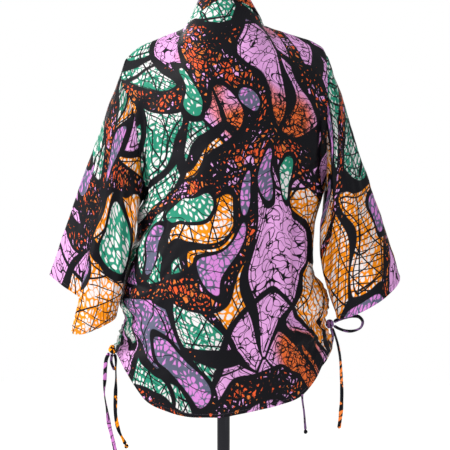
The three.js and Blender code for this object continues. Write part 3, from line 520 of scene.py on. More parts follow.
@dataclass
class JacketForm:
    """Form of the whole jacket, worked out from its sizes as the solids are."""

    shares: Array = field(init=False)
    panels: dict[str, Panel] = field(default_factory=dict)

    def __post_init__(self) -> None:
        """Works out every panel's grid and the shared normals."""
        shoulder = lerp(NECK_SHARE, 1, steps(SHOULDER_COLUMNS)[1:])
        self.shares = np.concatenate([NECK_SHARE * steps(NECK_COLUMNS), shoulder])
        back = self.back_grid()
        self.panels["back"] = Panel("back", "body", back)
        for side in Side:
            front = self.front_grid(side, back)
            sleeve = self.sleeve_grid(side, self.armhole(side, back, front))
            band = self.band_grid(side, back, front)
            self.panels[f"front_{side.word}"] = Panel("front", "body", front)
            self.panels[f"sleeve_{side.word}"] = Panel("sleeve", "sleeve", sleeve, closed=True)
            self.panels[f"neckband_{side.word}"] = Panel("band", "band", band)
        self.share_normals()

    @property
    def middle(self) -> int:
        """The back's column at centre back."""
        return len(self.shares) - 1

    def top_point(self, side: Side, share: Array) -> tuple[Array, Array, Array]:
        """Point of the top edge.

        Args:
            side: the wearer's side.
            share: 0 at centre back to 1 at the shoulder tip.

        Returns:
            Its x, y and z.
        """
        neck_x, neck_y, neck_z = NECK_POINT[side]
        turn = np.clip(share / NECK_SHARE, 0, 1) * math.pi / 2
        swept = np.sin(turn) ** NECK_SWEEP[side]
        along = (share - NECK_SHARE) / (1 - NECK_SHARE)
        on_neck = share <= NECK_SHARE
        table = SHOULDER[side]
        x = np.where(on_neck, lerp(NAPE[0], neck_x, np.sin(turn)), table.read("x", along))
        y = np.where(on_neck, lerp(neck_y, NAPE[1], np.cos(turn)), lerp(neck_y, 0, along))
        z = np.where(on_neck, lerp(NAPE[2], neck_z, swept), table.read("z", along))
        return x, y, z

    def lower_share(self, row: Array) -> Array:
        """Share of the way from the underarm row to the hem."""
        t = (row - ARM_ROWS) / SIDE_ROWS
        return t + HEM_CLOSING * (t - t * t)

    def row_height(self, top: Numbers, under: Numbers, hem: Numbers) -> Array:
        """Height of each row between the top edge, the underarm row and the hem."""
        above = lerp(top, under, EACH_ROW / ARM_ROWS)
        return np.where(EACH_ROW <= ARM_ROWS, above, lerp(under, hem, self.lower_share(EACH_ROW)))

    def edge_height(self, side: Side) -> Array:
        """Height of a side's armhole and then its side seam, row by row."""
        top, hem = EDGE[side].column("z")[[0, -1]]
        return self.row_height(top, UNDERARM[side], hem)

    def wrap(self, row: Array) -> Array:
        """How far a body section wraps round towards the side, as an angle."""
        return lerp(WRAP_SHOULDER, WRAP_SIDE, smooth((row - ARM_ROWS + WRAP_EARLY) / WRAP_ROWS))

    def shell(self, side: Side, panel: str, share: Array, top_share: Array, inner: Array) -> Array:
        """Points of half the back, or of a front, hanging from its top edge without folds.

        Args:
            side: the wearer's side.
            panel: back or front.
            share: each column's place, 0 at the panel's inner edge to 1 at its side.
            top_share: the same columns' places along the top edge.
            inner: for each row, how far out the inner edge lies.

        Returns:
            Rows by columns by 3.
        """
        edges, row = EDGE[side], EACH_ROW
        top_x, top_y, top_z = self.top_point(side, top_share)
        under = lerp(CENTRE_UNDERARM, UNDERARM[side], lerp(INNER_SHARE[panel], 1, share))
        z = self.row_height(top_z, under, HEM[panel].read(side.word, share))
        edge_z = self.edge_height(side)
        turn, first_turn = self.wrap(row), self.wrap(0 * row)
        sweep = np.sin(share * turn) / np.sin(turn)
        lift = (np.cos(share * turn) - np.cos(turn)) / (1 - np.cos(turn))
        first_sweep = np.sin(share * first_turn) / np.sin(first_turn)
        straight = lerp(inner[0], edges.column(f"{panel}Out")[0], first_sweep)
        shift = (side.value * top_x - straight) * (1 - smooth(row / (ARM_ROWS * TOP_HOLD)))
        x = side.value * (lerp(inner, edges.read(f"{panel}Out", edge_z), sweep) + shift)
        over = np.sin(np.clip((top_z - z) / SHOULDER_ROUND, 0, 1) * math.pi / 2)
        plain = EDGE_DEPTH.read(panel, edge_z)
        edge = plain + (edges.read(panel, edge_z) - plain) * share**SIDE_POWER
        y = edge + top_y * (1 - over) + (DEPTH.read(panel, z) - plain) * lift * over
        return np.stack(np.broadcast_arrays(x, y, z), axis=-1)

    def half_back(self, side: Side) -> Array:
        """Points of the back from its middle to one side."""
        share = self.shares[None, :]
        return self.shell(side, "back", share, share, np.zeros_like(EACH_ROW))

    def back_grid(self) -> Array:
        """Grid of the back, its columns from the wearer's right edge to the left edge.

        Returns:
            Rows by columns by 3.
        """
        right, left = self.half_back(RIGHT), self.half_back(LEFT)
        grid = relax(np.concatenate([right[:, :0:-1], left], axis=1), RELAX)
        out = fold_out(BACK_FOLDS, grid[..., 0], grid[..., 2]) * smooth(EACH_ROW / TOP_PLAIN)
        return grid + normals_of(grid, False) * out[..., None]

    def front_edge(self, side: Side) -> Array:
        """Inner edge of a front, where the neckband is sewn on.

        Args:
            side: the wearer's side.

        Returns:
            A point for each row.
        """
        neck_x, neck_y, neck_z = NECK_POINT[side]
        under = lerp(CENTRE_UNDERARM, UNDERARM[side], FRONT_START)
        z = self.row_height(neck_z, under, FRONT_HEM.read(side.word, 0 * EACH_ROW))
        drop = np.clip((neck_z - z) / SHOULDER_ROUND, 0, 1)
        x = lerp(abs(neck_x), FRONT_EDGE, smooth(drop * TOP_DROP))
        y = lerp(neck_y, DEPTH.read("front", z) + FRONT_EDGE_BACK, np.sin(drop * math.pi / 2))
        return np.concatenate([side.value * x, y, z], axis=1)

    def front_grid(self, side: Side, back: Array) -> Array:
        """Grid of a front; its side edge and shoulder take the back's points.

        Args:
            side: the wearer's side.
            back: the back's grid.

        Returns:
            Rows by columns by 3.
        """
        column = np.arange(SHOULDER_COLUMNS + 1)
        t = steps(SHOULDER_COLUMNS)[None, :]
        inner = self.front_edge(side)
        top_share = NECK_SHARE + t * (1 - NECK_SHARE)
        grid = self.shell(side, "front", t, top_share, np.abs(inner[:, :1]))
        grid[..., 1] = lerp(grid[..., 1], inner[:, 1:2], (1 - t) ** OPENING_POWER)
        if side is LEFT:
            grid = grid[:, ::-1]
        edge_column = 0 if side is LEFT else SHOULDER_COLUMNS
        grid = relax(grid, RELAX)
        from_edge = smooth(np.abs(column[None, :] - edge_column) / 2)
        out = fold_out(FRONT_FOLDS, grid[..., 0] * side.value, grid[..., 2])
        out = out * smooth(EACH_ROW / TOP_PLAIN) * from_edge
        grid = grid + normals_of(grid, False) * out[..., None]
        grid[ARM_ROWS:, edge_column] = back[ARM_ROWS:, side.end]
        columns = SHOULDER_COLUMNS - column if side is LEFT else column
        grid[0, columns] = back[0, self.middle + side.value * (NECK_COLUMNS + column)]
        return grid

    def armhole(self, side: Side, back: Array, front: Array) -> Array:
        """Armhole loop: down the back's edge from the shoulder, up the front's edge."""
        front_edge = front[:, -1 - side.end]
        return np.concatenate([back[:ARM_ROWS, side.end], front_edge[ARM_ROWS:0:-1]])

    def section(self, row: dict[str, float], turn: Array) -> Array:
        """Points of one sleeve section.

        Args:
            row: the section's row of the sleeve table.
            turn: places round it, 0 (top) to 0.5 (underarm) on the back, on to 1.

        Returns:
            A point for each place.
        """
        on_back = turn <= 0.5
        t = np.where(on_back, turn * 2, 2 - turn * 2)
        bulge = np.sin(math.pi * t).clip(0) ** 0.8
        fold = np.where(on_back, row["tuck"], 0.0)
        place = lerp((1 - np.cos(math.pi * t)) / 2, TUCK.read("place", t), fold)
        layer = np.where(on_back, row["back"], -row["front"]) * bulge
        depth = lerp(layer, TUCK.read("depth", t), fold)
        drop = lerp(row["hang"] * np.sin(math.pi * t), TUCK.read("drop", t), fold)
        lap = np.where(on_back, row["lap"], 0.0) * hump(t - LAP_PLACE, LAP_WIDE)
        x = lerp(row["topX"], row["underX"], place) - lap
        y = UNDERARM_DEPTH * t + depth + lap * LAP_LIFT
        z = lerp(row["topZ"], row["underZ"], place) - drop
        return np.stack([x, y, z], axis=-1)

    def sleeve_grid(self, side: Side, loop: Array) -> Array:
        """Grid of a sleeve, from the armhole to the cuff.

        Args:
            side: the wearer's side.
            loop: the armhole's points.

        Returns:
            One closed row for each ring, by columns by 3.
        """
        names = SLEEVE[side].names.split()
        turn = np.arange(LOOP) / LOOP
        rows = [dict(zip(names, row)) for row in SLEEVE[side].rows]
        stations = np.stack([loop, *[self.section(row, turn) for row in rows]])
        at = np.array([0.0, *[row["at"] for row in rows]])
        rings = steps(SLEEVE_RINGS)
        grid = hermite(at, stations, rings)
        out = sleeve_fold(SLEEVE_FOLDS[side], turn[None, :], rings[:, None])
        if side is LEFT:
            grid, out = grid[:, ::-1], out[:, ::-1]
        return grid + normals_of(grid, True) * out[..., None]

    def band_grid(self, side: Side, back: Array, front: Array) -> Array:
        """Grid of a neckband half, from the nape round the neck and down the front.

        Args:
            side: the wearer's side.
            back: the back's grid.
            front: that side's front's grid.

        Returns:
            Rows along the band by columns across by 3.
        """
        neck = back[0, self.middle + side.value * np.arange(NECK_COLUMNS + 1)]
        seam_line = np.concatenate([neck, front[1:, side.end]])
        place = np.arange(len(seam_line), dtype=float)
        return band_points(side, seam_line, place, steps(BAND_STEPS))

    def share_normals(self) -> None:
        """Averages the normals where pieces share a seam point, so that the seams meet."""
        sums: dict[tuple[float, ...], dict[str, Array]] = defaultdict(
            lambda: defaultdict(lambda: np.zeros(3))
        )
        for panel in self.panels.values():
            panel.normals = normals_of(panel.grid, panel.closed)
            keys = np.round(panel.grid.reshape(-1, 3), 2)
            for key, normal in zip(map(tuple, keys), panel.normals.reshape(-1, 3)):
                sums[key][panel.group] += normal
        for panel in self.panels.values():
            keys = np.round(panel.grid.reshape(-1, 3), 2)
            means = [sum(unit(n) for n in sums[key].values()) for key in map(tuple, keys)]
            panel.normals = unit(np.array(means)).reshape(panel.grid.shape)


def band_points(side: Side, seam: Array, place: Array, across: Array) -> Array:
    """Points of a neckband half, standing up from its seam at the neck and lying flat below.

    Args:
        side: the wearer's side.
        seam: points of its seam.
        place: for each seam point, its place in grid steps from the nape.
        across: shares of the band's width.

    Returns:
        Rows along the seam by columns across by 3.
    """
    neck_share = np.clip(place / NECK_COLUMNS, 0, 1)
    front_share = (place - NECK_COLUMNS) / ARM_ROWS
    rise = 0.12 * smooth(neck_share)
    lean = np.where(place <= NECK_COLUMNS, rise, np.maximum(rise, smooth(front_share / 0.75 + 0.12)))
    flare = -side.value * BAND_FLARE[side] * smooth(neck_share)
    upright = np.stack([flare, np.full_like(flare, -0.2), np.ones_like(flare)], axis=-1)
    flat = np.array([-side.value, -0.06, 0.1])
    way = unit(lerp(upright, flat, lean[:, None]))
    grid = seam[:, None] + way[:, None] * BAND_WIDTH * across[None, :, None]
    return grid if side is LEFT else grid[:, ::-1]


# ---- finishes
Colour = tuple[float, float, float, float]
Feed = float | tuple[float, ...] | Socket
CUT = "cut"


def tint(code: str) -> Colour:
    """Linear colour of a six-digit hexadecimal one."""
    parts = (int(code[k : k + 2], 16) / 255 for k in (0, 2, 4))
    return (*(c / 12.92 if c <= 0.04045 else ((c + 0.055) / 1.055) ** 2.4 for c in parts), 1.0)


def shade(colour: Colour, share: float) -> Colour:
    """The same colour with a share of its light, more than all of it if above 1."""
    return (colour[0] * share, colour[1] * share, colour[2] * share, colour[3])


INK = tint("07070f")
GREEN = tint("268b70")
WHITE = tint("ebe6e8")
LILAC = tint("d585d4")
SLATE = tint("5d6078")
PALE = tint("e6a6e4")
PLUM = tint("a678b8")
ORANGE = tint("f38d00")
RUST = tint("ee5c2c")
AMBER = tint("e47a34")


class Shader:
    """Builds the nodes of one material."""

    def __init__(self, name: str) -> None:
        """Starts a material that holds a Principled shader and its output.

        Args:
            name: the material's name.
        """
        self.material = bpy.data.materials.new(name)
        self.material.use_nodes = True
        self.tree = self.material.node_tree
        self.tree.nodes.clear()
        output = self.tree.nodes.new("ShaderNodeOutputMaterial")
        self.surface = self.tree.nodes.new("ShaderNodeBsdfPrincipled")
        self.tree.links.new(self.surface.outputs["BSDF"], output.inputs["Surface"])

    def feed(self, socket: Socket, value: Feed) -> None:
        """Links a socket to another, or sets its value.

        Args:
            socket: the socket to feed.
            value: another node's output, or a value.
        """
        if isinstance(value, Socket):
            self.tree.links.new(value, socket)
        else:
            socket.default_value = value

    def put(self, kind: str, feeds: dict[str | int, Feed], **settings: object) -> Node:
        """Adds a node.

        Args:
            kind: the node's type.
            feeds: what its inputs take, by name or number.
            settings: its own properties.

        Returns:
            The node.
        """
        node = self.tree.nodes.new(kind)
        for name, value in settings.items():
            setattr(node, name, value)
        for name, value in feeds.items():
            self.feed(node.inputs[name], value)
        return node

    def finish(self, **feeds: Feed) -> Material:
        """Feeds the surface.

        Args:
            feeds: what its inputs take, their names spelt with _ for a space.

        Returns:
            The material.
        """
        for name, value in feeds.items():
            self.feed(self.surface.inputs[name.replace("_", " ")], value)
        return self.material

    def cut_map(self) -> Socket:
        """Place on the flat cut cloth, in metres."""
        return self.put("ShaderNodeUVMap", {}, uv_map=CUT).outputs[0]

    def object_place(self) -> Socket:
        """Place in the object, in metres."""
        return self.put("ShaderNodeTexCoord", {}).outputs["Object"]

    def math(self, operation: str, a: Feed, b: Feed = 0.0, c: Feed = 0.0) -> Socket:
        """Result of a number operation."""
        return self.put("ShaderNodeMath", {0: a, 1: b, 2: c}, operation=operation).outputs[0]

    def times(self, a: Feed, b: Feed) -> Socket:
        """Product of two numbers, or where two masks overlap."""
        return self.math("MULTIPLY", a, b)

    def scaled(self, value: Feed, by: Feed, plus: Feed) -> Socket:
        """A number times `by`, plus `plus`."""
        return self.math("MULTIPLY_ADD", value, by, plus)

    def outside(self, mask: Feed) -> Socket:
        """Opposite of a mask."""
        return self.math("SUBTRACT", 1.0, mask)

    def away(self, value: Feed, middle: Feed) -> Socket:
        """How far a number lies from another."""
        return self.math("ABSOLUTE", self.math("SUBTRACT", value, middle))

    def vector(self, operation: str, a: Feed, b: Feed) -> Socket:
        """Result of a vector operation."""
        return self.put("ShaderNodeVectorMath", {0: a, 1: b}, operation=operation).outputs[0]

    def noise(self, at: Socket, scale: float, detail: float = 1.5) -> Socket:
        """Smooth noise from about 0.2 to 0.8."""
        feeds = {"Vector": at, "Scale": scale, "Detail": detail}
        return self.put("ShaderNodeTexNoise", feeds, noise_dimensions="3D").outputs[0]

    def warp(self, at: Socket, scale: float, reach: float) -> Socket:
        """Place moved about by smooth noise.

        Args:
            at: the place.
            scale: waves of the noise in a metre.
            reach: about how far a place moves, in metres.

        Returns:
            The new place.
        """
        feeds = {"Vector": at, "Scale": scale, "Detail": 1.0}
        node = self.put("ShaderNodeTexNoise", feeds, noise_dimensions="2D")
        shift = self.vector("SUBTRACT", node.outputs[1], (0.5, 0.5, 0.5))
        shift = self.vector("MULTIPLY", shift, (2 * reach, 2 * reach, 0.0))
        return self.vector("ADD", at, shift)

    def stretch(self, at: Socket, wide: float, long: float) -> Socket:
        """Place counted in steps of `wide` across and `long` down, in metres."""
        return self.vector("MULTIPLY", at, (1 / wide, 1 / long, 1.0))

    def turned(self, at: Socket, angle: Feed) -> Socket:
        """Place turned by an angle on the flat cloth."""
        feeds = {"Vector": at, "Angle": angle}
        return self.put("ShaderNodeVectorRotate", feeds, rotation_type="Z_AXIS").outputs[0]

    def cells(self, at: Socket, feature: str = "F1", random: float = 1.0) -> Node:
        """Cell texture, one cell to a step."""
        feeds = {"Vector": at, "Scale": 1.0, "Randomness": random}
        return self.put("ShaderNodeTexVoronoi", feeds, voronoi_dimensions="2D", feature=feature)

    def border(self, at: Socket) -> Socket:
        """Distance from the nearest border between cells."""
        return self.cells(at, "DISTANCE_TO_EDGE").outputs["Distance"]

    def threads(self, cut: Socket) -> Socket:
        """Height of the threads of a plain weave."""
        return self.noise(self.stretch(cut, 0.35, 1.0), 1500.0, 1.0)

    def above(self, value: Feed, edge: Feed, soft: float) -> Socket:
        """Mask of where a value lies above an edge, blurred by `soft` to each side."""
        feeds = {"Value": self.math("SUBTRACT", value, edge), "From Min": -soft, "From Max": soft}
        return self.put("ShaderNodeMapRange", feeds, interpolation_type="SMOOTHSTEP").outputs[0]

    def mix(self, share: Feed, a: Feed, b: Feed, blend: str = "MIX") -> Socket:
        """Colour between two others: a share of 0 gives the first and 1 the second."""
        feeds = {0: share, 6: a, 7: b}
        return self.put("ShaderNodeMix", feeds, data_type="RGBA", blend_type=blend).outputs[2]

    def pick(self, chance: Socket, shares: tuple[float, ...], colours: tuple[Colour, ...]) -> Socket:
        """Colour drawn by chance.

        Args:
            chance: a number from 0 to 1.
            shares: how often each colour but the last comes.
            colours: the colours.

        Returns:
            The colour drawn.
        """
        drawn: Feed = colours[0]
        limit = 0.0
        for share, colour in zip(shares, colours[1:]):
            limit += share
            drawn = self.mix(self.math("GREATER_THAN", chance, limit), drawn, colour)
        return drawn

    def part(self, colour: Socket, channel: int) -> Socket:
        """One channel of a colour."""
        return self.put("ShaderNodeSeparateColor", {0: colour}).outputs[channel]

    def bump(
        self, height: Socket, distance: float, strength: float, under: Feed | None = None
    ) -> Socket:
        """Normal that a height gives.

        Args:
            height: the height, 0 to 1.
            distance: what a height of 1 measures, in metres.
            strength: share of it that shows.
            under: a normal to build on.

        Returns:
            The normal.
        """
        feeds: dict[str | int, Feed] = {"Height": height, "Distance": distance, "Strength": strength}
        if under is not None:
            feeds["Normal"] = under
        return self.put("ShaderNodeBump", feeds).outputs[0]


@dataclass(frozen=True)
class Lines:
    """Thin drawn lines: their angle, the gap from one to the next and a line's width.

    They wander by up to `sway` in about `waves` bends to a metre; lengths are in metres.
    """

    turn: float
    gap: float
    width: float
    waves: float
    sway: float


@dataclass(frozen=True)
class WaxPrint:
    """Wax-printed cotton: crackled cells between dark ribs, and winding bands of flecks.

    The shares say how often a cell is green, lilac, plain or, for the rest, orange.
    """

    name: str
    green: float = 0.42
    lilac: float = 0.24
    plain: float = 0.12
    bands: float = 0.04
    ribs: float = 0.25
    wide: float = 0.095
    long: float = 0.23
    open_from: float = 0.58
    long_lines: Lines = Lines(turn=0.35, gap=0.044, width=0.0028, waves=2.6, sway=0.06)
    cross_lines: Lines = Lines(turn=-0.42, gap=0.05, width=0.003, waves=2.0, sway=0.1)
    sheaf: Lines = Lines(turn=0.95, gap=0.0105, width=0.0017, waves=1.8, sway=0.16)

    def build(self) -> Material:
        """Makes the material.

        Returns:
            The material.
        """
        s = Shader(self.name)
        cut = s.cut_map()
        flow = s.warp(cut, scale=3.1, reach=0.13)
        even = s.warp(cut, scale=24.0, reach=0.008)
        place = s.stretch(flow, self.wide, self.long)
        fill = self.fields(s, self.cell_fill(s, cut, flow, even, place), cut)
        fill = self.ribs_and_bands(s, fill, cut, flow, even, s.border(place))
        fill = self.pebbles(s, fill, even, flow)
        worn = s.scaled(s.noise(cut, scale=150.0, detail=2.0), by=0.18, plus=0.57)
        grey = s.put("ShaderNodeCombineColor", {0: worn, 1: worn, 2: worn}).outputs[0]
        fill = s.mix(1.0, fill, grey, "MULTIPLY")
        crumple = s.noise(s.warp(cut, scale=18.0, reach=0.01), scale=34.0, detail=3.0)
        normal = s.bump(s.threads(cut), 0.0002, 0.25, s.bump(crumple, 0.0022, 0.4))
        return s.finish(Base_Color=fill, Roughness=0.6, Specular_IOR_Level=0.1, Normal=normal)

    def crackle(self, s: Shader, at: Socket) -> Socket:
        """Mask of the pale, rounded blobs between crackle lines.

        Args:
            s: the material's builder.
            at: the place.

        Returns:
            1 on a blob and 0 between blobs.
        """
        place = s.stretch(s.warp(at, scale=95.0, reach=0.0022), wide=0.0115, long=0.0135)
        rounded = s.scaled(s.cells(place).outputs["Distance"], by=-0.34, plus=s.border(place))
        width = s.scaled(s.noise(at, scale=20.0, detail=0.5), by=0.9, plus=-0.37)
        veins = s.border(s.stretch(at, wide=0.0058, long=0.0066))
        faint = s.scaled(s.above(veins, edge=0.04, soft=0.03), by=0.22, plus=0.78)
        return s.times(s.above(rounded, width, soft=0.075), faint)

    def lines(self, s: Shader, at: Socket, turn: Feed, gap: float, width: float) -> Socket:
        """Mask of thin drawn lines.

        Args:
            s: the material's builder.
            at: the place.
            turn: the lines' angle.
            gap: from one line to the next, in metres.
            width: a line's width, in metres.

        Returns:
            1 on a line and 0 off it.
        """
        blur = 0.0003
        across = s.put("ShaderNodeSeparateXYZ", {0: s.turned(at, turn)}).outputs[0]
        from_line = s.away(s.math("FRACT", s.times(across, 1 / gap)), 0.5)
        return s.outside(s.above(from_line, width / gap / 2, soft=blur / gap))

    def wandering(self, s: Shader, cut: Socket, lines: Lines) -> Socket:
        """Mask of lines that wander over the flat cloth."""
        loose = s.warp(cut, lines.waves, lines.sway)
        return self.lines(s, loose, lines.turn, lines.gap, lines.width)

    def scrawl(self, s: Shader, at: Socket, size: float, width: float) -> Socket:
        """Mask of looping scribbled lines.

        Args:
            s: the material's builder.
            at: the place.
            size: about how far one line is from the next, in metres.
            width: a line's width, as a share of the noise that it follows.

        Returns:
            1 on a line and 0 off it.
        """
        loose = s.warp(at, scale=0.55 / size, reach=size * 0.6)
        clear: Feed = 1.0
        for shift in ((0.0, 0.0, 0.0), (0.53, 0.29, 0.0), (0.17, 0.71, 0.0)):
            rise = s.noise(s.vector("ADD", loose, shift), scale=0.75 / size, detail=0.0)
            clear = s.times(clear, s.above(s.away(rise, 0.5), width, soft=width * 0.4))
        return s.outside(clear)

    def cell_fill(self, s: Shader, cut: Socket, flow: Socket, even: Socket, place: Socket) -> Socket:
        """Crackled, scribbled and lined fill of the large cells.

        Args:
            s: the material's builder.
            cut: place on the flat cloth.
            flow: the same, moved about widely.
            even: the same, moved about a little.
            place: place among the cells.

        Returns:
            The fill's colour.
        """
        chance = s.cells(place).outputs["Color"]
        draw, turn = s.part(chance, 0), s.part(chance, 1)
        shares = (self.green, self.lilac, self.plain)
        net = s.pick(draw, shares, (GREEN, SLATE, PALE, ORANGE))
        blob = s.pick(draw, shares, (WHITE, LILAC, PALE, WHITE))
        fill = s.mix(self.crackle(s, even), net, blob)
        is_plain = s.times(
            s.math("GREATER_THAN", draw, self.green + self.lilac),
            s.math("LESS_THAN", draw, self.green + self.lilac + self.plain),
        )
        fill = s.mix(s.times(is_plain, self.scrawl(s, cut, size=0.019, width=0.016)), fill, INK)
        hand = s.warp(flow, scale=24.0, reach=0.006)
        own = self.lines(s, hand, s.times(turn, math.pi), gap=0.018, width=0.0018)
        own = s.times(own, s.above(s.noise(cut, scale=9.0), edge=0.42, soft=0.01))
        long_lines, cross_lines, sheaf = (
            self.wandering(s, cut, lines) for lines in (self.long_lines, self.cross_lines, self.sheaf)
        )
        in_sheaf = s.above(s.noise(cut, scale=3.6, detail=0.0), edge=0.55, soft=0.01)
        drawn = s.math("MAXIMUM", own, s.math("MAXIMUM", long_lines, cross_lines))
        drawn = s.math("MAXIMUM", drawn, s.times(sheaf, in_sheaf))
        return s.mix(s.times(drawn, s.outside(is_plain)), fill, INK)

    def fields(self, s: Shader, fill: Socket, cut: Socket) -> Socket:
        """Wide scribbled fields, lilac to rust, with a dark outline.

        Args:
            s: the material's builder.
            fill: the colour under them.
            cut: the place.

        Returns:
            The colour with them.
        """
        rise = s.noise(s.warp(cut, scale=5.0, reach=0.04), scale=2.4, detail=0.0)
        rusty = s.above(s.noise(cut, scale=5.0, detail=1.0), edge=0.58, soft=0.05)
        inside = s.mix(rusty, PALE, s.mix(s.noise(cut, scale=40.0), RUST, AMBER))
        inside = s.mix(self.scrawl(s, cut, size=0.019, width=0.016), inside, INK)
        close = s.times(rusty, self.scrawl(s, cut, size=0.012, width=0.026))
        inside = s.mix(close, inside, INK)
        outline, soft = 0.012, 0.001
        fill = s.mix(s.above(rise, self.open_from - outline, soft), fill, INK)
        return s.mix(s.above(rise, self.open_from, soft), fill, inside)

    def ribs_and_bands(
        self, s: Shader, fill: Socket, cut: Socket, flow: Socket, even: Socket, edge: Socket
    ) -> Socket:
        """Dark ribs along the cells' borders, and the winding bands of flecks over them.

        Args:
            s: the material's builder.
            fill: the colour under them.
            cut: place on the flat cloth.
            flow: the same, moved about widely.
            even: the same, moved about a little.
            edge: distance from the cells' borders.

        Returns:
            The colour with them.
        """
        soft, band_soft = 0.006, 0.0015
        from_band = s.away(s.noise(flow, scale=3.2, detail=0.0), 0.5)
        rib = s.scaled(s.noise(cut, scale=6.5, detail=1.0), by=self.ribs, plus=-0.055)
        flecks = self.flecks(s, even, s.math("DIVIDE", from_band, self.bands))
        inner = s.outside(s.above(edge, s.math("SUBTRACT", rib, 0.035), soft))
        inner = s.times(inner, s.above(s.noise(cut, scale=12.0), edge=0.5, soft=0.03))
        fill = s.mix(s.above(edge, rib, soft), s.mix(inner, INK, flecks), fill)
        beside = s.away(s.math("SUBTRACT", edge, rib), 0.045)
        fill = s.mix(s.outside(s.above(beside, edge=0.009, soft=0.004)), fill, INK)
        outline = s.scaled(s.noise(cut, scale=8.0), by=0.024, plus=self.bands)
        fill = s.mix(s.above(from_band, outline, band_soft), INK, fill)
        return s.mix(s.above(from_band, self.bands, band_soft), flecks, fill)

    def flecks(self, s: Shader, at: Socket, from_middle: Socket) -> Socket:
        """Rust and lilac flecks between black scribbles, sparser towards a band's sides.

        Args:
            s: the material's builder.
            at: the place.
            from_middle: 0 at the band's middle to 1 at its sides.

        Returns:
            The flecks' colour, dark between them.
        """
        place = s.stretch(s.warp(at, scale=70.0, reach=0.005), wide=0.0095, long=0.0125)
        chance = s.cells(place).outputs["Color"]
        lilac = s.times(s.above(s.noise(at, scale=14.0), edge=0.52, soft=0.12), 0.55)
        warm = s.mix(s.math("LESS_THAN", s.part(chance, 1), 0.3), RUST, AMBER)
        colour = s.mix(s.math("LESS_THAN", s.part(chance, 0), lilac), warm, PALE)
        width = s.scaled(from_middle, by=0.08, plus=-0.09)
        width = s.scaled(s.noise(at, scale=15.0, detail=1.0), by=0.68, plus=width)
        shown = s.above(s.border(place), width, soft=0.03)
        shown = s.times(shown, s.outside(self.scrawl(s, at, size=0.012, width=0.022)))
        return s.mix(shown, INK, colour)

    def pebbles(self, s: Shader, fill: Socket, hand: Socket, flow: Socket) -> Socket:
        """Long crackled pebbles with a thick dark outline, on part of the cloth.

        Args:
            s: the material's builder.
            fill: the colour under them.
            hand: place for their crackle.
            flow: place for their outlines.

        Returns:
            The colour with them.
        """
        place = s.stretch(s.warp(flow, scale=9.0, reach=0.02), wide=0.075, long=0.19)
        middle = s.cells(place, random=0.8)
        draw, kept = s.part(middle.outputs["Color"], 0), s.part(middle.outputs["Color"], 2)
        from_middle = s.math("ADD", middle.outputs["Distance"], s.times(kept, 0.12))
        shares = (0.5, 0.4)
        net = s.pick(draw, shares, (SLATE, GREEN, ORANGE))
        blob = s.pick(draw, shares, (LILAC, WHITE, WHITE))
        inside = s.mix(self.crackle(s, s.vector("ADD", hand, (0.31, 0.17, 0.0))), net, blob)
        inside = s.mix(self.lines(s, hand, turn=1.5, gap=0.036, width=0.0016), inside, INK)
        here = s.math("GREATER_THAN", kept, 0.58)
        outer, inner = (
            s.times(here, s.outside(s.above(from_middle, radius, soft=0.006))) for radius in (0.44, 0.35)
        )
        return s.mix(inner, s.mix(outer, fill, INK), inside)


@dataclass(frozen=True)
class TiePrint:
    """The same print on a narrow tie, where only bars and specks of it show."""

    name: str
    ground: Colour
    bars: Colour
    bar_wide: float = 0.03
    bar_step: float = 0.017
    bar_share: float = 0.3
    speck_share: float = 0.16
    slant: float = 0.5

    def build(self) -> Material:
        """Makes the material.

        Returns:
            The material.
        """
        s = Shader(self.name)
        cut = s.warp(s.cut_map(), scale=60.0, reach=0.006)
        bars = s.stretch(s.turned(cut, self.slant), self.bar_wide, self.bar_step)
        draw = s.part(s.cells(bars).outputs["Color"], 0)
        colour = s.mix(s.math("LESS_THAN", draw, self.bar_share), self.ground, self.bars)
        specks = s.cells(s.stretch(cut, wide=0.005, long=0.008)).outputs["Color"]
        speck = s.math("LESS_THAN", s.part(specks, 1), self.speck_share)
        colour = s.mix(speck, colour, self.bars)
        colour = s.mix(s.above(s.border(bars), edge=0.06, soft=0.02), INK, colour)
        normal = s.bump(s.threads(cut), 0.0002, 0.3)
        return s.finish(Base_Color=colour, Roughness=0.65, Specular_IOR_Level=0.1, Normal=normal)


@dataclass(frozen=True)
class Jersey:
    """Fine knitted cover of the dress form."""

    name: str = "form jersey"
    colour: Colour = tint("34343a")

    def build(self) -> Material:
        """Makes the material.

        Returns:
            The material.
        """
        s = Shader(self.name)
        at = s.object_place()
        colour = s.mix(s.noise(at, scale=420.0, detail=3.0), shade(self.colour, 0.7), self.colour)
        feeds = {"Vector": at, "Scale": 190.0, "Distortion": 1.5}
        ribs = s.put("ShaderNodeTexWave", feeds, bands_direction="X").outputs[1]
        normal = s.bump(ribs, 0.0004, 0.4, s.bump(s.noise(at, scale=60.0), 0.001, 0.2))
        return s.finish(Base_Color=colour, Roughness=0.85, Normal=normal, Sheen_Weight=0.3)


@dataclass(frozen=True)
class BlackChrome:
    """Dark polished metal of the stand, with faint wear."""

    name: str = "form metal"
    colour: Colour = tint("2c2c30")

    def build(self) -> Material:
        """Makes the material.

        Returns:
            The material.
        """
        s = Shader(self.name)
        at = s.object_place()
        smear = s.noise(s.stretch(at, 0.12, 0.12), scale=9.0, detail=3.0)
        rough = s.scaled(smear, by=0.16, plus=0.1)
        scratch = s.noise(s.vector("MULTIPLY", at, (1.0, 1.0, 0.03)), scale=900.0, detail=2.0)
        normal = s.bump(scratch, 0.0001, 0.12)
        return s.finish(Base_Color=self.colour, Metallic=1.0, Roughness=rough, Normal=normal)


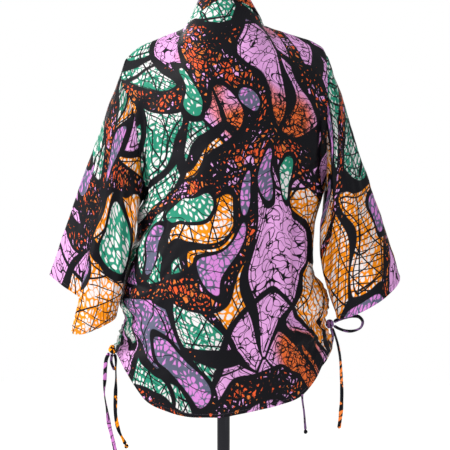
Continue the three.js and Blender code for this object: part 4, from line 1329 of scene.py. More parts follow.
@dataclass(frozen=True)
class Thread:
    """Dark sewing thread, painted lighter on its raised twist as a highlight."""

    name: str = "sewing thread"
    colour: Colour = tint("3a3340")

    def build(self) -> Material:
        """Makes the material.

        Returns:
            The material.
        """
        s = Shader(self.name)
        feeds = {"Vector": s.object_place(), "Scale": 900.0, "Distortion": 2.0}
        twist_and_highlight = s.put("ShaderNodeTexWave", feeds).outputs[1]
        # painted highlight: the raised twist is coloured lighter, as light would catch each ply
        colour = s.mix(twist_and_highlight, self.colour, shade(self.colour, 1.6))
        return s.finish(Base_Color=colour, Roughness=0.6, Normal=s.bump(twist_and_highlight, 0.0002, 0.5))


@dataclass(frozen=True)
class Paper:
    """Pale matt floor of the studio."""

    name: str = "studio floor"
    colour: Colour = tint("fcfcfb")

    def build(self) -> Material:
        """Makes the material.

        Returns:
            The material.
        """
        s = Shader(self.name)
        grain = s.noise(s.object_place(), scale=60.0, detail=4.0)
        colour = s.mix(grain, shade(self.colour, 0.98), self.colour)
        return s.finish(Base_Color=colour, Roughness=0.9, Normal=s.bump(grain, 0.0003, 0.1))


# ---- meshes
WELD = 0.00001


def only(piece: Piece | None = None) -> None:
    """Selects one object alone and makes it active, or selects nothing.

    Args:
        piece: the object, or None.
    """
    bpy.ops.object.select_all(action="DESELECT")
    if piece is not None:
        piece.select_set(True)
        bpy.context.view_layer.objects.active = piece


@contextmanager
def editing(piece: Piece) -> Iterator[None]:
    """Opens a piece in edit mode with all of it selected, and closes it again.

    Args:
        piece: the piece.

    Returns:
        A context for a with statement.
    """
    only(piece)
    bpy.ops.object.mode_set(mode="EDIT")
    bpy.ops.mesh.select_all(action="SELECT")
    yield
    bpy.ops.object.mode_set(mode="OBJECT")


def new_piece(name: str) -> Piece:
    """Names the primitive that was just added.

    Args:
        name: its name.

    Returns:
        The primitive.
    """
    piece = bpy.context.object
    piece.name = name
    piece.data.name = name
    return piece


def apply(piece: Piece, kind: str, **settings: object) -> None:
    """Gives a piece a modifier and applies it.

    Args:
        piece: the piece.
        kind: the modifier's type.
        settings: its properties.
    """
    only(piece)
    modifier = piece.modifiers.new(kind, kind)
    for name, value in settings.items():
        setattr(modifier, name, value)
    bpy.ops.object.modifier_apply(modifier=modifier.name)


def settle(piece: Piece, angle: float = 50.0) -> None:
    """Puts a piece's place into its mesh and shades it smooth.

    Args:
        piece: the piece.
        angle: the sharpest edge that is shaded smooth, in degrees.
    """
    only(piece)
    bpy.ops.object.transform_apply(location=True, rotation=True, scale=True)
    bpy.ops.object.shade_smooth_by_angle(angle=math.radians(angle))


def dress(piece: Piece, finish: Material, slot: str, *nodes: str) -> None:
    """Gives a piece its finish and ties it to the frame.

    Args:
        piece: the piece.
        finish: its material.
        slot: the record's material slot; not used.
        nodes: the solids that it stands for.
    """
    piece.data.materials.clear()
    piece.data.materials.append(finish)
    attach(piece, BODY)
    if nodes:
        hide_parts(*nodes)
    log.info("%s: %d faces", piece.name, len(piece.data.polygons))


def coordinates(piece: Piece) -> Array:
    """Reads a mesh's points.

    Args:
        piece: the piece.

    Returns:
        Points by 3, in metres.
    """
    flat = np.zeros(len(piece.data.vertices) * 3)
    piece.data.vertices.foreach_get("co", flat)
    return flat.reshape(-1, 3)


def place_points(piece: Piece, points: Array) -> None:
    """Moves a mesh's points to new places, in metres."""
    piece.data.vertices.foreach_set("co", points.astype(np.float32).ravel())
    piece.data.update()


def set_cut(piece: Piece, places: Array) -> None:
    """Stores each point's place on the flat cloth as the mesh's cut map.

    Args:
        piece: the piece.
        places: points by 2, in metres.
    """
    corners = np.zeros(len(piece.data.loops), dtype=np.int32)
    piece.data.loops.foreach_get("vertex_index", corners)
    for layer in list(piece.data.uv_layers):
        piece.data.uv_layers.remove(layer)
    layer = piece.data.uv_layers.new(name=CUT)
    layer.data.foreach_set("uv", places[corners].astype(np.float32).ravel())


def grid_piece(name: str, points: Array, places: Array) -> Piece:
    """Sheet through a grid of points.

    Args:
        name: the piece's name.
        points: rows by columns by 3, in millimetres.
        places: their places on the flat cloth, in metres.

    Returns:
        The sheet, without thickness.
    """
    rows, columns = points.shape[:2]
    only()
    bpy.ops.mesh.primitive_grid_add(x_subdivisions=columns - 1, y_subdivisions=rows - 1)
    piece = new_piece(name)
    place_points(piece, points.reshape(-1, 3) * MM)
    set_cut(piece, places.reshape(-1, 2))
    return piece


# ---- cloth
BODY_ROWS = [6] * 24 + [10] * 9
BACK_COLUMNS = [10] + [6] * 26 + [10]
FRONT_COLUMNS = [10] + [7] * 8 + [10]
SLEEVE_ROWS = [10] + [7] * 14 + [14]
LOOP_STEP = 6
BAND_COLUMNS = 12
SEAM_DIP = 1.3
SEAM_WIDE = 2.6
HEM_TURN = 7.0
STITCH_WIDE = 1.3
CREASE_START = 14
CREASE_TOP = 20
FINER_WAVE = 0.61
FINER_REACH = 20.0


@dataclass(frozen=True)
class Gather:
    """Small folds where a drawstring draws up a side seam."""

    side: Side
    height: float
    spread: float
    depth: float
    reach: float
    wave: float

    def out(self, points: Array, from_seam: Array) -> Array:
        """Push of the folds.

        Args:
            points: rows by columns by 3.
            from_seam: each point's distance from the side seam.

        Returns:
            The push at each point.
        """
        z = points[..., 2]
        drift = soft_noise(points, scale=34, seed=31) * 1.3
        first = np.sin(2 * math.pi * z / self.wave + drift)
        second = np.sin(2 * math.pi * z / (self.wave * FINER_WAVE) + 2 + drift)
        waves = first + 0.5 * second * np.exp(-from_seam / FINER_REACH)
        fade = np.exp(-((from_seam / self.reach) ** 1.3)) * hump(z - self.height, self.spread)
        near = points[..., 0] * self.side.value > 0
        return np.where(near, self.depth * fade * waves, 0)


GATHERS = (
    Gather(LEFT, 736, 42, 1.9, 50, 14.5),
    Gather(LEFT, 812, 30, 1.2, 34, 17.0),
    Gather(RIGHT, 762, 40, 2.0, 56, 15.5),
    Gather(RIGHT, 846, 30, 1.3, 36, 18.0),
)


def drape(points: Array) -> Array:
    """Slight unevenness of cloth, the same for two pieces where they meet."""
    wide, fine = soft_noise(points, scale=52, seed=12), soft_noise(points, scale=19, seed=13)
    return 1.1 * wide + 0.5 * fine


def uneven(points: Array, scale: float, seed: int) -> Array:
    """Factor that makes creases deeper in some places than in others."""
    return 0.85 + 0.3 * soft_noise(points, scale, seed)


def seam(gap: Array) -> Array:
    """Dip of the cloth towards a seam, `gap` millimetres away."""
    return -SEAM_DIP * hump(gap, SEAM_WIDE)


def hem(gap: Array) -> Array:
    """Shape of a turned and stitched hem, `gap` millimetres from its edge."""
    doubled = 0.45 * smooth((HEM_TURN + 1.2 - gap) / 2)
    return doubled - 0.6 * hump(gap - HEM_TURN, STITCH_WIDE) - 0.7 * hump(gap, STITCH_WIDE)


def lengths(points: Array, axis: int) -> Array:
    """Length along each line of points up to each point.

    Args:
        points: one line of points, or a grid of them.
        axis: 0 to measure down the columns, 1 along the rows.

    Returns:
        One length for each point, in the points' units.
    """
    moves = np.linalg.norm(np.diff(points, axis=axis), axis=-1)
    first = np.zeros_like(moves.take([0], axis=axis))
    return np.cumsum(np.concatenate([first, moves], axis=axis), axis=axis)


@dataclass
class ClothPiece(ABC):
    """One cut piece of the jacket: a thin sheet on its form, with its own creases."""

    form: JacketForm
    node: str
    finish: Material
    bolt: tuple[float, float]
    slot: str = "print_cotton"
    held: str = "hung"
    thick: float = 1.0
    points: Array = field(init=False)
    normals: Array = field(init=False)
    across: Array = field(init=False)
    down: Array = field(init=False)
    hem_line: Array = field(init=False)
    hem_normals: Array = field(init=False)

    def spread(self, rows: Array, columns: Array) -> None:
        """Reads the form's grid at finer places.

        Args:
            rows: places down the grid.
            columns: places across it.
        """
        panel = self.form.panels[self.node]
        across = spline_weights(panel.grid.shape[1], columns, panel.closed)
        down = spline_weights(panel.grid.shape[0], rows, False)
        self.points = np.einsum("aj,bi,jik->abk", down, across, panel.grid, optimize=True)
        self.normals = unit(np.einsum("aj,bi,jik->abk", down, across, panel.normals, optimize=True))

    @abstractmethod
    def relief(self) -> Array:
        """How far the cloth stands out at each point in creases, seams and hems."""

    @property
    def from_end(self) -> Array:
        """Each point's distance from the last column."""
        return self.across[:, -1:] - self.across

    @property
    def from_hem(self) -> Array:
        """Each point's distance from the bottom edge."""
        return self.down[-1:] - self.down

    def start(self) -> Array:
        """Where down the flat cloth each column starts; 0 unless the top edge slopes."""
        return np.zeros(1)

    def build(self) -> Piece:
        """Makes and dresses the piece.

        Returns:
            The piece.
        """
        self.across, self.down = lengths(self.points, 1), lengths(self.points, 0)
        middle = self.across[:, self.across.shape[1] // 2][:, None]
        flat = np.stack([self.across - middle, -(self.down + self.start())], axis=-1) * MM
        self.points = self.points + self.normals * self.relief()[..., None]
        self.mark_hem()
        piece = grid_piece(f"cloth_{self.node}", self.points, flat + np.array(self.bolt))
        if self.form.panels[self.node].closed:
            with editing(piece):
                bpy.ops.mesh.remove_doubles(threshold=WELD)
        apply(piece, "SOLIDIFY", thickness=self.thick * MM, offset=-1.0)
        settle(piece)
        dress(piece, self.finish, self.slot, self.node)
        wide = float(np.ptp(flat[..., 0]))
        long = float(np.ptp(flat[..., 1]))
        return piece

    def mark_hem(self) -> None:
        """Keeps the line along the hem where its stitches run."""
        gap = self.from_hem
        rows = np.arange(gap.shape[0])
        at = np.array([np.interp(-HEM_TURN, -gap[:, i], rows) for i in range(gap.shape[1])])
        low = np.floor(at).astype(int).clip(0, len(rows) - 2)
        share = (at - low)[:, None]
        columns = np.arange(gap.shape[1])
        self.hem_line = lerp(self.points[low, columns], self.points[low + 1, columns], share)
        self.hem_normals = self.normals[low, columns]


@dataclass
class Back(ClothPiece):
    """The back, one panel from the shoulder seams to the rounded hem."""

    held: str = "gathered"

    def __post_init__(self) -> None:
        """Reads the form at the back's fine places."""
        self.spread(fine_places(BODY_ROWS), fine_places(BACK_COLUMNS))

    def start(self) -> Array:
        """The slope of the neckline and shoulders."""
        top = self.points[0]
        return (top[len(top) // 2, 2] - top[:, 2])[None, :]

    def relief(self) -> Array:
        """Shapes creases, gathers, side seams and hem.

        Returns:
            How far the cloth stands out at each point.
        """
        left, right = self.from_end, self.across
        side = np.minimum(left, right)
        out = fold_out(BACK_CREASES, self.points[..., 0], self.points[..., 2])
        out = out * uneven(self.points, scale=45, seed=11)
        out = out * smooth(side / CREASE_START) * smooth(self.down / CREASE_TOP) + drape(self.points)
        for gather in GATHERS:
            out += gather.out(self.points, left if gather.side is LEFT else right)
        return out + seam(side) + seam(self.down) + hem(self.from_hem)


@dataclass
class Front(ClothPiece):
    """One front, from the shoulder seam to the rounded hem, open down the middle."""

    side: Side = LEFT
    held: str = "gathered"

    def __post_init__(self) -> None:
        """Reads the form at the front's fine places."""
        self.spread(fine_places(BODY_ROWS), fine_places(FRONT_COLUMNS))

    def start(self) -> Array:
        """The slope of the shoulder."""
        top = self.points[0, :, 2]
        return (top.max() - top)[None, :]

    def relief(self) -> Array:
        """Shapes creases, gathers, seams and hem.

        Returns:
            How far the cloth stands out at each point.
        """
        ends = (self.across, self.from_end)
        outer, inner = ends if self.side is LEFT else ends[::-1]
        out = fold_out(FRONT_CREASES, self.points[..., 0] * self.side.value, self.points[..., 2])
        out = out * uneven(self.points, scale=45, seed=17)
        out = out * smooth(outer / CREASE_START) * smooth(self.down / CREASE_TOP)
        out = out * smooth(inner / CREASE_TOP) + drape(self.points)
        for gather in GATHERS:
            if gather.side is self.side:
                out += gather.out(self.points, outer)
        return out + seam(outer) + seam(inner) + seam(self.down) + hem(self.from_hem)


@dataclass
class Sleeve(ClothPiece):
    """A wide three-quarter sleeve, one piece closed along the underarm."""

    side: Side = LEFT
    turn: Array = field(init=False)
    along: Array = field(init=False)

    def __post_init__(self) -> None:
        """Reads the form round the sleeve, starting at the underarm."""
        first = LOOP / 2 - 1 if self.side is LEFT else LOOP / 2
        columns = first + np.arange(LOOP * LOOP_STEP + 1) / LOOP_STEP
        rows = fine_places(SLEEVE_ROWS)
        self.spread(rows, columns)
        place = LOOP - 1 - columns if self.side is LEFT else columns
        self.turn = (place / LOOP % 1.0)[None, :]
        self.along = (rows / SLEEVE_RINGS)[:, None]

    def relief(self) -> Array:
        """Shapes long creases, the underarm seam, the armhole seam and the turned cuff.

        Returns:
            How far the cloth stands out at each point.
        """
        under = np.minimum(self.across, self.from_end)
        out = sleeve_fold(SLEEVE_CREASES[self.side], self.turn, self.along)
        out = out * uneven(self.points, scale=50, seed=23) + drape(self.points)
        return out + seam(under) + seam(self.down) + hem(self.from_hem)


@dataclass
class Neckband(ClothPiece):
    """Half of the folded neckband, from the nape round the neck and down one front."""

    side: Side = LEFT
    back: Back | None = None
    front: Front | None = None
    slot: str = "band_cotton"
    held: str = "folded"
    thick: float = 2.6

    def __post_init__(self) -> None:
        """Takes its seam from the fine edges of the back and the front."""
        row = self.back.points[0]
        middle = len(row) // 2
        reach = NECK_COLUMNS * LOOP_STEP
        neck = row[middle + self.side.value * np.arange(reach + 1)]
        inner = self.front.points[1:, self.side.end]
        line = np.concatenate([neck, inner])
        down = NECK_COLUMNS + fine_places(BODY_ROWS)[1:]
        place = np.concatenate([NECK_COLUMNS * steps(reach), down])
        across = steps(BAND_COLUMNS)
        self.points = band_points(self.side, line, place, across)
        self.normals = normals_of(self.points, False)

    def relief(self) -> Array:
        """Shapes the seam, a soft fold along the free edge and slight waves.

        Returns:
            How far the cloth stands out at each point.
        """
        ends = (self.across, self.from_end)
        from_seam, free = ends if self.side is LEFT else ends[::-1]
        waves = 0.9 * soft_noise(self.points, scale=60, seed=41) * smooth(from_seam / 20)
        return waves + seam(from_seam) * 0.7 - 0.9 * hump(free, 2.2) + seam(self.down) * 0.5


# ---- drawstrings
def smooth_route(route: tuple[Point, ...], step: float) -> Array:
    """Points along a smooth curve through a route.

    Args:
        route: the route's points, in millimetres.
        step: about the distance from one point to the next.

    Returns:
        Points by 3, in millimetres.
    """
    ends = np.array(route, float)
    ends = np.concatenate([[2 * ends[0] - ends[1]], ends, [2 * ends[-1] - ends[-2]]])
    parts = []
    for a, b, c, d in zip(ends[:-3], ends[1:-2], ends[2:-1], ends[3:]):
        ab, bc, cd = (math.sqrt(np.linalg.norm(q - p)) for p, q in ((a, b), (b, c), (c, d)))
        first = (b - a) / ab - (c - a) / (ab + bc) + (c - b) / bc
        second = (c - b) / bc - (d - b) / (bc + cd) + (d - c) / cd
        count = max(2, round(float(np.linalg.norm(c - b)) / step))
        t = (np.arange(count) / count)[:, None]
        start, start_bend, end, end_bend = cubic(t)
        part = start * b + start_bend * bc * first
        parts.append(part + end * c + end_bend * bc * second)
    return np.concatenate([*parts, ends[-2:-1]])


@dataclass(frozen=True)
class Tie:
    """A flat tie of the jacket's cotton: its route and how its face turns along it."""

    name: str
    route: tuple[Point, ...]
    turns: Rows
    bolt: tuple[float, float]
    finish: TiePrint
    far_end: str = "bare"
    lay: str = "hanging"
    width: float = 7.8
    thick: float = 2.3

    def section(self) -> Array:
        """Outline of the flat section with rounded edges.

        Returns:
            Points by 2, across the tie and out of its face, in millimetres.
        """
        turn = np.arange(12) * 2 * math.pi / 12
        across = np.sign(np.cos(turn)) * np.abs(np.cos(turn)) ** 0.6 * self.width / 2
        out = np.sign(np.sin(turn)) * np.abs(np.sin(turn)) ** 0.8 * self.thick / 2
        dent = 0.25 * hump(np.abs(across) - self.width * 0.32, 0.7) * np.sign(out)
        return np.stack([across, out - dent], axis=-1)

    def build(self) -> Piece:
        """Returns:
            The tie.
        """
        path = smooth_route(self.route, 2.5)
        run = lengths(path, 0)
        share = run / run[-1]
        way = unit(np.gradient(path, axis=0))
        level = unit(np.cross(way, np.array([0.0, 1.0, 0.0])))
        out = np.cross(level, way)
        turns = Table("share turn", self.turns)
        angle = np.radians(turns.read("turn", share))[:, None]
        wide = level * np.cos(angle) + out * np.sin(angle)
        flat = np.cross(wide, way)
        outline = self.section()
        ends = smooth(run / 2.0 + 0.35) * smooth((run[-1] - run) / 2.0 + 0.35)
        wave = 1 + 0.07 * soft_noise(path, 16, 51)
        across = outline[None, :, :1] * (ends * wave)[:, None, None]
        lift = outline[None, :, 1:] * ends[:, None, None]
        rings = path[:, None] + wide[:, None] * across + flat[:, None] * lift
        piece = self.skin(rings, run, outline)
        settle(piece, 70)
        dress(piece, self.finish.build(), "tie_cotton", self.name)
        tuple(float(v) * MM for v in path[0])
        float(run[-1]) * MM
        log.info("%s: %.3f m long", piece.name, run[-1] * MM)
        return piece

    def skin(self, rings: Array, run: Array, outline: Array) -> Piece:
        """Closed skin over the tie's rings, with its map along the cloth.

        Args:
            rings: rings by points by 3, in millimetres.
            run: each ring's length along the tie.
            outline: the section, for the map across.

        Returns:
            The tie's mesh.
        """
        count = rings.shape[1]
        closed = np.concatenate([rings, rings[:, :1]], axis=1)
        across = np.concatenate([outline[:, 0], outline[:1, 0]])
        places = np.stack(np.broadcast_arrays(across[None, :], -run[:, None]), axis=-1) * MM
        piece = grid_piece(f"cord_{self.name}", closed, places + np.array(self.bolt))
        with editing(piece):
            bpy.ops.mesh.remove_doubles(threshold=WELD)
            bpy.ops.mesh.select_all(action="DESELECT")
            bpy.ops.mesh.select_non_manifold()
            bpy.ops.mesh.fill_holes(sides=count + 1)
            bpy.ops.mesh.select_all(action="SELECT")
            bpy.ops.mesh.normals_make_consistent(inside=False)
        return piece


FLAT = ((0, 0), (0.5, 12), (1, 0))
LILAC_TIE = TiePrint("tie, lilac", shade(LILAC, 0.62), INK, bar_step=0.011, bar_share=0.2)
ORANGE_TIE = TiePrint("tie, dark and orange", INK, ORANGE, bar_step=0.011, bar_share=0.24)
PLUM_TIE = TiePrint("tie, plum", shade(PLUM, 0.36), INK, bar_share=0.4)
KNOT_TIE = TiePrint("tie, plum knot", shade(PLUM, 0.5), INK, bar_step=0.006, bar_share=0.3)
RUST_TIE = TiePrint("tie, dark and rust", INK, AMBER, bar_step=0.008, bar_share=0.2)
TIES = (
    Tie(
        "tie_left_outer",
        ((239.4, 0, 699), (245.5, 0, 688), (248, 1, 670), (249, 2, 645), (250, 3, 615),
         (245, 4, 583), (240, 5, 550), (232, 6, 517), (226, 6, 490), (222, 6, 474)),
        ((0, 0), (0.22, 8), (0.36, 78), (0.5, 70), (0.66, 10), (1, -6)),
        (3.10, 0.42),
        LILAC_TIE,
    ),
    Tie(
        "tie_left_inner",
        ((228.5, 1, 697), (226, 3, 685), (226, 4, 668), (225.5, 5, 645), (226.5, 6, 605),
         (226, 7, 568), (219, 8, 536), (211, 9, 520), (205, 9, 508)),
        ((0, 30), (0.16, 76), (0.32, 60), (0.45, 8), (0.78, 14), (0.9, 66), (1, 12)),
        (3.34, 0.15),
        ORANGE_TIE,
        far_end="knot",
    ),
    Tie(
        "tie_left_stub",
        ((233.5, -6.5, 697), (236, -9, 688), (236, -6, 680), (233, -7, 670), (229, -7, 662)),
        FLAT,
        (3.61, 0.88),
        PLUM_TIE,
        width=6.0,
    ),
    Tie(
        "tie_right_loop",
        ((-231, 3, 764), (-240, 5, 769), (-255, 7, 774), (-270, 8, 777), (-284, 7, 775),
         (-292, 4, 765), (-288, 0, 752), (-273, -3, 745), (-257, -5, 745), (-242, -5, 750),
         (-231.5, -4, 756)),
        ((0, 20), (0.25, 4), (0.48, 40), (0.6, 55), (0.8, 30), (1, 40)),
        (3.90, 0.33),
        PLUM_TIE,
        far_end="object",
        lay="loose",
    ),
    Tie(
        "tie_right_outer",
        ((-229, 1, 751.5), (-234, 2, 737), (-240, 3, 716), (-244.5, 4, 690), (-247, 5, 650),
         (-248, 6, 610), (-246, 7, 575), (-242, 8, 541)),
        ((0, 60), (0.2, 50), (0.45, 42), (0.62, 20), (0.8, 0), (1, 6)),
        (4.22, 0.71),
        RUST_TIE,
    ),
    Tie(
        "tie_right_inner",
        ((-226, -5, 751.5), (-230, -18, 738), (-229, -38, 716), (-221, -62, 694),
         (-207, -86, 672), (-191, -105, 652), (-177, -117, 628), (-171, -121, 598),
         (-175, -121, 560), (-178, -120, 522)),
        ((0, 40), (0.5, 20), (0.8, 62), (1, 50)),
        (4.53, 0.24),
        PLUM_TIE,
        far_end="knot",
    ),
)


@dataclass(frozen=True)
class Knot:
    """Pulled-tight knot of a flat tie: turns of the tie round a core.

    It is made 2 across and then given its half sizes; `grain` is how fine it is remeshed.
    """

    name: str
    node: str
    centre: Point
    half: Point
    tilts: tuple[Point, ...]
    finish: TiePrint
    slot: str = "tie_cotton"
    core: float = 0.78
    ring: float = 0.7
    tie: float = 0.3
    squeeze: float = 0.94
    grain: float = 0.55

    def build(self) -> Piece:
        """Makes the knot.

        Returns:
            The knot.
        """
        only()
        bpy.ops.mesh.primitive_uv_sphere_add(segments=24, ring_count=16, radius=self.core)
        parts = [bpy.context.object]
        for tilt in self.tilts:
            only()
            bpy.ops.mesh.primitive_torus_add(
                major_segments=40, minor_segments=12, major_radius=self.ring, minor_radius=self.tie,
                rotation=tuple(math.radians(a) for a in tilt),
            )
            bpy.ops.transform.resize(value=(1.0, self.squeeze, 1.0))
            parts.append(bpy.context.object)
        only()
        for part in parts:
            part.select_set(True)
        bpy.context.view_layer.objects.active = parts[0]
        bpy.ops.object.join()
        piece = new_piece(self.name)
        settle(piece)
        place_points(piece, coordinates(piece) * np.array(self.half) * MM)
        apply(piece, "REMESH", mode="VOXEL", voxel_size=self.grain * MM)
        apply(piece, "SMOOTH", factor=0.5, iterations=3)
        points = coordinates(piece)
        points = points * (1 + 0.035 * soft_noise(points / MM, scale=5.0, seed=61)[:, None])
        place_points(piece, points + np.array(self.centre) * MM)
        set_cut(piece, points[:, [0, 2]] * 1.6 + np.array([5.0, 0.4]))
        settle(piece, 80)
        dress(piece, self.finish.build(), self.slot, *([self.node] if self.node else []))
        return piece


KNOTS = (
    Knot(
        "knot_turns_left", "knot_left", (232, -2, 706.5), (10, 8, 10),
        ((62, 12, 0), (100, -30, 20), (20, 80, 0)), ORANGE_TIE,
    ),
    Knot(
        "knot_turns_right", "knot_right", (-223, 0, 760), (9, 8, 10),
        ((75, -20, 0), (110, 36, 10), (10, 70, 30)), KNOT_TIE,
    ),
    Knot(
        "knot_end_left", "", (203.5, 9, 504.5), (4.6, 3.6, 5.4), ((80, 20, 0), (20, 60, 0)), ORANGE_TIE
    ),
    Knot(
        "knot_end_right", "", (-178.3, -120, 518.5), (4.4, 3.6, 4.8), ((95, -20, 0), (10, 70, 0)),
        PLUM_TIE
    ),
)


# ---- sewing
@dataclass(frozen=True)
class Stitches:
    """Row of straight stitches along a line on the cloth."""

    name: str
    stitch: float = 2.7
    gap: float = 0.7
    width: float = 0.75
    rise: float = 0.12

    def build(self, line: Array, normals: Array, finish: Material) -> Piece:
        """Sews the row.

        Args:
            line: points of the line, in millimetres.
            normals: the cloth's normals there.
            finish: the thread's material.

        Returns:
            All the row's stitches as one piece.
        """
        run = lengths(line, 0)
        at = np.arange(self.stitch, run[-1] - self.stitch, self.stitch + self.gap)
        centre, out, ahead = (
            np.stack([np.interp(at + d, run, values[:, k]) for k in range(3)], axis=-1)
            for values, d in ((line, 0.0), (normals, 0.0), (line, 0.8))
        )
        way, out = unit(ahead - centre), unit(out)
        axes = np.stack([way, unit(np.cross(out, way)), out], axis=1)
        only()
        bpy.ops.mesh.primitive_ico_sphere_add(subdivisions=1, radius=1.0)
        pattern = new_piece("stitch_pattern")
        shape = coordinates(pattern)
        faces = np.array([list(p.vertices) for p in pattern.data.polygons])
        bpy.data.objects.remove(pattern)
        local = shape * np.array([self.stitch / 2, self.width / 2, self.width / 3])
        points = (centre + out * self.rise)[:, None] + local @ axes
        first = np.arange(len(at)) * len(shape)
        all_faces = (faces[None] + first[:, None, None]).reshape(-1, 3)
        mesh = bpy.data.meshes.new(self.name)
        mesh.from_pydata((points.reshape(-1, 3) * MM).tolist(), [], all_faces.tolist())
        piece = bpy.data.objects.new(self.name, mesh)
        bpy.context.scene.collection.objects.link(piece)
        settle(piece, 80)
        dress(piece, finish, "")
        return piece


# ---- dress form
@dataclass
class DressForm:
    """Limbless form on a round base, smooth and a little smaller than its solids."""

    sections: Table = Table(
        "z half back front lean power",
        (
            (1505, 41, 41, 41, -6, 2), (1450, 42, 42, 43, -4, 2), (1418, 45, 44, 45, -2, 2),
            (1400, 54, 48, 46, 0, 1.8), (1386, 67, 53, 46, 3, 1.5), (1374, 86, 60, 46, 4, 1.1),
            (1362, 118, 66, 58, 4, 1.15), (1350, 145, 71, 69, 4, 1.15), (1338, 162, 75, 80, 3, 1.2),
            (1322, 170, 83, 88, 2, 1.4), (1295, 173, 94, 98, 0, 1.7), (1250, 168, 103, 106, 0, 2),
            (1190, 157, 107, 113, 0, 2), (1120, 144, 104, 112, 0, 2), (1050, 128, 92, 98, 0, 2),
            (980, 120, 86, 90, 0, 2), (910, 132, 94, 92, 0, 2), (850, 148, 102, 96, 0, 2),
            (815, 154, 104, 98, 0, 2),
        ),
    )
    ease: float = 2.0
    collar_foot: float = 770
    pole_radius: float = 13.5
    hub_top: float = 52
    base_radius: float = 175
    part_gap: float = 0.3
    rings: int = 92

    def torso(self) -> Piece:
        """Torso and neck, a cylinder cut into rings and shaped through the sections.

        Returns:
            The torso, its edges rounded.
        """
        heights = self.sections.column("z")
        top, foot = heights[0], heights[-1]
        only()
        bpy.ops.mesh.primitive_cylinder_add(
            vertices=72, radius=0.1, depth=(top - foot) * MM, location=(0, 0, (top + foot) / 2 * MM)
        )
        piece = new_piece("stand_torso")
        settle(piece)
        with editing(piece):
            for height in np.linspace(foot, top, self.rings)[1:-1]:
                bpy.ops.mesh.select_all(action="SELECT")
                bpy.ops.mesh.bisect(plane_co=(0, 0, height * MM), plane_no=(0, 0, 1))
        points = coordinates(piece) / MM
        turn = np.arctan2(points[:, 1], points[:, 0])
        z = points[:, 2]
        power = 2 / self.sections.read("power", z)
        c, s = np.cos(turn), np.sin(turn)
        half = self.sections.read("half", z) - self.ease
        deep = np.where(s > 0, self.sections.read("back", z), self.sections.read("front", z)) - self.ease
        x = np.sign(c) * np.abs(c) ** power * half
        y = np.sign(s) * np.abs(s) ** power * deep + self.sections.read("lean", z)
        place_points(piece, np.stack([x, y, z], axis=-1) * MM)
        self.round_edges(piece, width=0.004, from_angle=60)
        return piece

    def round_edges(self, piece: Piece, width: float, from_angle: float, flat: float = 50) -> None:
        """Bevels a part's sharp edges and shades it smooth.

        Args:
            piece: the part.
            width: the bevel's width, in metres.
            from_angle: the flattest edge that is bevelled, in degrees.
            flat: the sharpest edge that is shaded smooth, in degrees.
        """
        sharp = math.radians(from_angle)
        apply(piece, "BEVEL", width=width, segments=3, limit_method="ANGLE", angle_limit=sharp)
        settle(piece, flat)

    def turned(self, name: str, profile: Rows, lean: float = 0.0) -> Piece:
        """Turned part: a disc drawn up and resized ring by ring.

        Args:
            name: the piece's name.
            profile: radius and height of each ring, from the foot up.
            lean: how far the part's axis lies behind the pole's.

        Returns:
            The part, its edges rounded.
        """
        centre = (0.0, lean * MM, 0.0)
        only()
        first_radius, first_height = profile[0]
        bpy.ops.mesh.primitive_circle_add(
            vertices=72, radius=first_radius * MM, fill_type="NGON",
            location=(0, lean * MM, first_height * MM),
        )
        piece = new_piece(name)
        settle(piece)
        with editing(piece):
            for (radius, height), (next_radius, next_height) in zip(profile, profile[1:]):
                rise = {"value": (0, 0, (next_height - height) * MM)}
                bpy.ops.mesh.extrude_region_move(TRANSFORM_OT_translate=rise)
                share = next_radius / radius
                bpy.ops.transform.resize(value=(share, share, 1.0), center_override=centre)
            bpy.ops.mesh.select_all(action="SELECT")
            bpy.ops.mesh.normals_make_consistent(inside=False)
        self.round_edges(piece, width=0.0012, from_angle=24, flat=40)
        return piece

    def build(self) -> None:
        """Makes and dresses the whole stand."""
        jersey, metal = Jersey().build(), BlackChrome().build()
        dress(self.torso(), jersey, "form_jersey", "form_torso")
        top = self.sections.column("z")[0] + self.part_gap
        lean = float(self.sections.column("lean")[0])
        cap = (
            (40, top), (42, top + 3), (40, top + 6), (22, top + 9), (10, top + 11),
            (9, top + 15), (12, top + 21), (9, top + 27), (3, top + 29),
        )
        collar_top = self.sections.column("z")[-1] - self.part_gap
        foot = self.collar_foot
        collar = (
            (20, foot), (22, foot + 3), (22, collar_top - 6), (30, collar_top - 4), (30, collar_top),
        )
        radius = self.pole_radius
        pole = ((radius, self.hub_top + self.part_gap), (radius, foot - self.part_gap))
        rim, hub = self.base_radius, self.hub_top
        base = (
            (rim - 3, 0), (rim, 3), (rim, 8), (rim - 4, 11), (60, 15), (26, 22),
            (22, hub - 3), (19, hub),
        )
        for part, profile, behind in (
            ("cap", cap, lean), ("collar", collar, 0.0), ("pole", pole, 0.0), ("base", base, 0.0)
        ):
            dress(self.turned(f"stand_{part}", profile, behind), metal, "form_metal", f"form_{part}")


# ---- studio
@dataclass(frozen=True)
class Lamp:
    """A square soft light: its place and its side in metres, its power in watts and its colour."""

    name: str
    place: Point
    size: float
    power: float
    colour: Point

    def hang(self, aim: Point) -> None:
        """Hangs the lamp.

        Args:
            aim: the place that it faces.
        """
        data = bpy.data.lights.new(self.name, "AREA")
        data.size = self.size
        data.energy = self.power
        data.color = self.colour
        lamp = bpy.data.objects.new(self.name, data)
        lamp.location = self.place
        way = Vector(np.subtract(aim, self.place))
        lamp.rotation_euler = way.to_track_quat("-Z", "Y").to_euler()
        bpy.context.scene.collection.objects.link(lamp)


LAMPS = (
    Lamp("key", (3.0, 1.35, 2.9), size=0.7, power=190.0, colour=(1.0, 0.98, 0.95)),
    Lamp("fill", (-2.2, 2.2, 1.3), size=1.6, power=4.0, colour=(0.95, 0.97, 1.0)),
    Lamp("front", (0.9, -2.6, 2.3), size=1.4, power=60.0, colour=(1.0, 1.0, 1.0)),
)


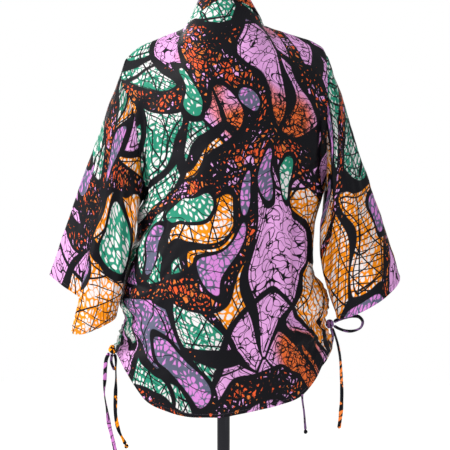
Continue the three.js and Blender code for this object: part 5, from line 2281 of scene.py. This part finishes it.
@dataclass
class Studio:
    """Camera level with the jacket's middle behind it, pale floor and soft lights."""

    distance: float = 3.5
    eye_height: float = 0.9675
    eye_x: float = -0.00315
    view_width: float = 0.945
    sensor: float = 36.0
    aim: Point = (0.0, 0.0, 1.0)
    floor_radius: float = 7.0

    def camera(self) -> None:
        """Places the camera, looking along -Y."""
        data = bpy.data.cameras.new("view")
        data.sensor_width = self.sensor
        data.lens = self.sensor * self.distance / self.view_width
        camera = bpy.data.objects.new("view", data)
        camera.location = (self.eye_x, self.distance, self.eye_height)
        camera.rotation_euler = (math.radians(90), 0.0, math.radians(180))
        bpy.context.scene.collection.objects.link(camera)
        bpy.context.scene.camera = camera

    def build(self) -> None:
        """Sets the floor, the surrounding light and the lamps."""
        world = bpy.data.worlds.new("studio")
        world.use_nodes = True
        glow = world.node_tree.nodes["Background"]
        glow.inputs["Color"].default_value = (1.0, 1.0, 1.0, 1.0)
        glow.inputs["Strength"].default_value = 1.0
        bpy.context.scene.world = world
        bpy.context.scene.view_settings.view_transform = "Standard"
        for lamp in LAMPS:
            lamp.hang(self.aim)
        only()
        bpy.ops.mesh.primitive_circle_add(vertices=64, radius=self.floor_radius, fill_type="NGON")
        floor = new_piece("floor")
        floor.data.materials.append(Paper().build())


# ---- the whole
def main() -> None:
    """Builds the jacket and its stand in order, camera and cords first."""
    logging.basicConfig(level=logging.INFO, format="%(name)s: %(message)s")
    studio = Studio()
    studio.camera()
    body_print = WaxPrint("print, body").build()
    arm_print = WaxPrint("print, sleeves", green=0.16, lilac=0.12, plain=0.2, bands=0.036).build()
    thread = Thread().build()
    for tie in TIES:
        tie.build()
    for knot in KNOTS:
        knot.build()

    form = JacketForm()
    back = Back(form, "back", body_print, (4.1, 2.4))
    fronts, bands, sleeves = {}, {}, {}
    front_bolts = {LEFT: (1.05, 0.30), RIGHT: (1.62, 0.30)}
    sleeve_bolts = {LEFT: (2.2, 4.4), RIGHT: (3.1, 1.3)}
    for side in Side:
        front = Front(form, f"front_{side.word}", body_print, front_bolts[side], side=side)
        band_bolt = (2.2, 0.4 + 0.9 * side.value)
        node = f"neckband_{side.word}"
        bands[side] = Neckband(form, node, body_print, band_bolt, side=side, back=back, front=front)
        sleeves[side] = Sleeve(form, f"sleeve_{side.word}", arm_print, sleeve_bolts[side], side=side)
        fronts[side] = front
    for piece in (back, *fronts.values(), *sleeves.values(), *bands.values()):
        piece.build()
    for piece in (back, *fronts.values(), *sleeves.values()):
        stitches = Stitches(f"stitches_{piece.node}")
        stitches.build(piece.hem_line, piece.hem_normals, thread)
    DressForm().build()
    studio.build()


if __name__ == "__main__":
    main()
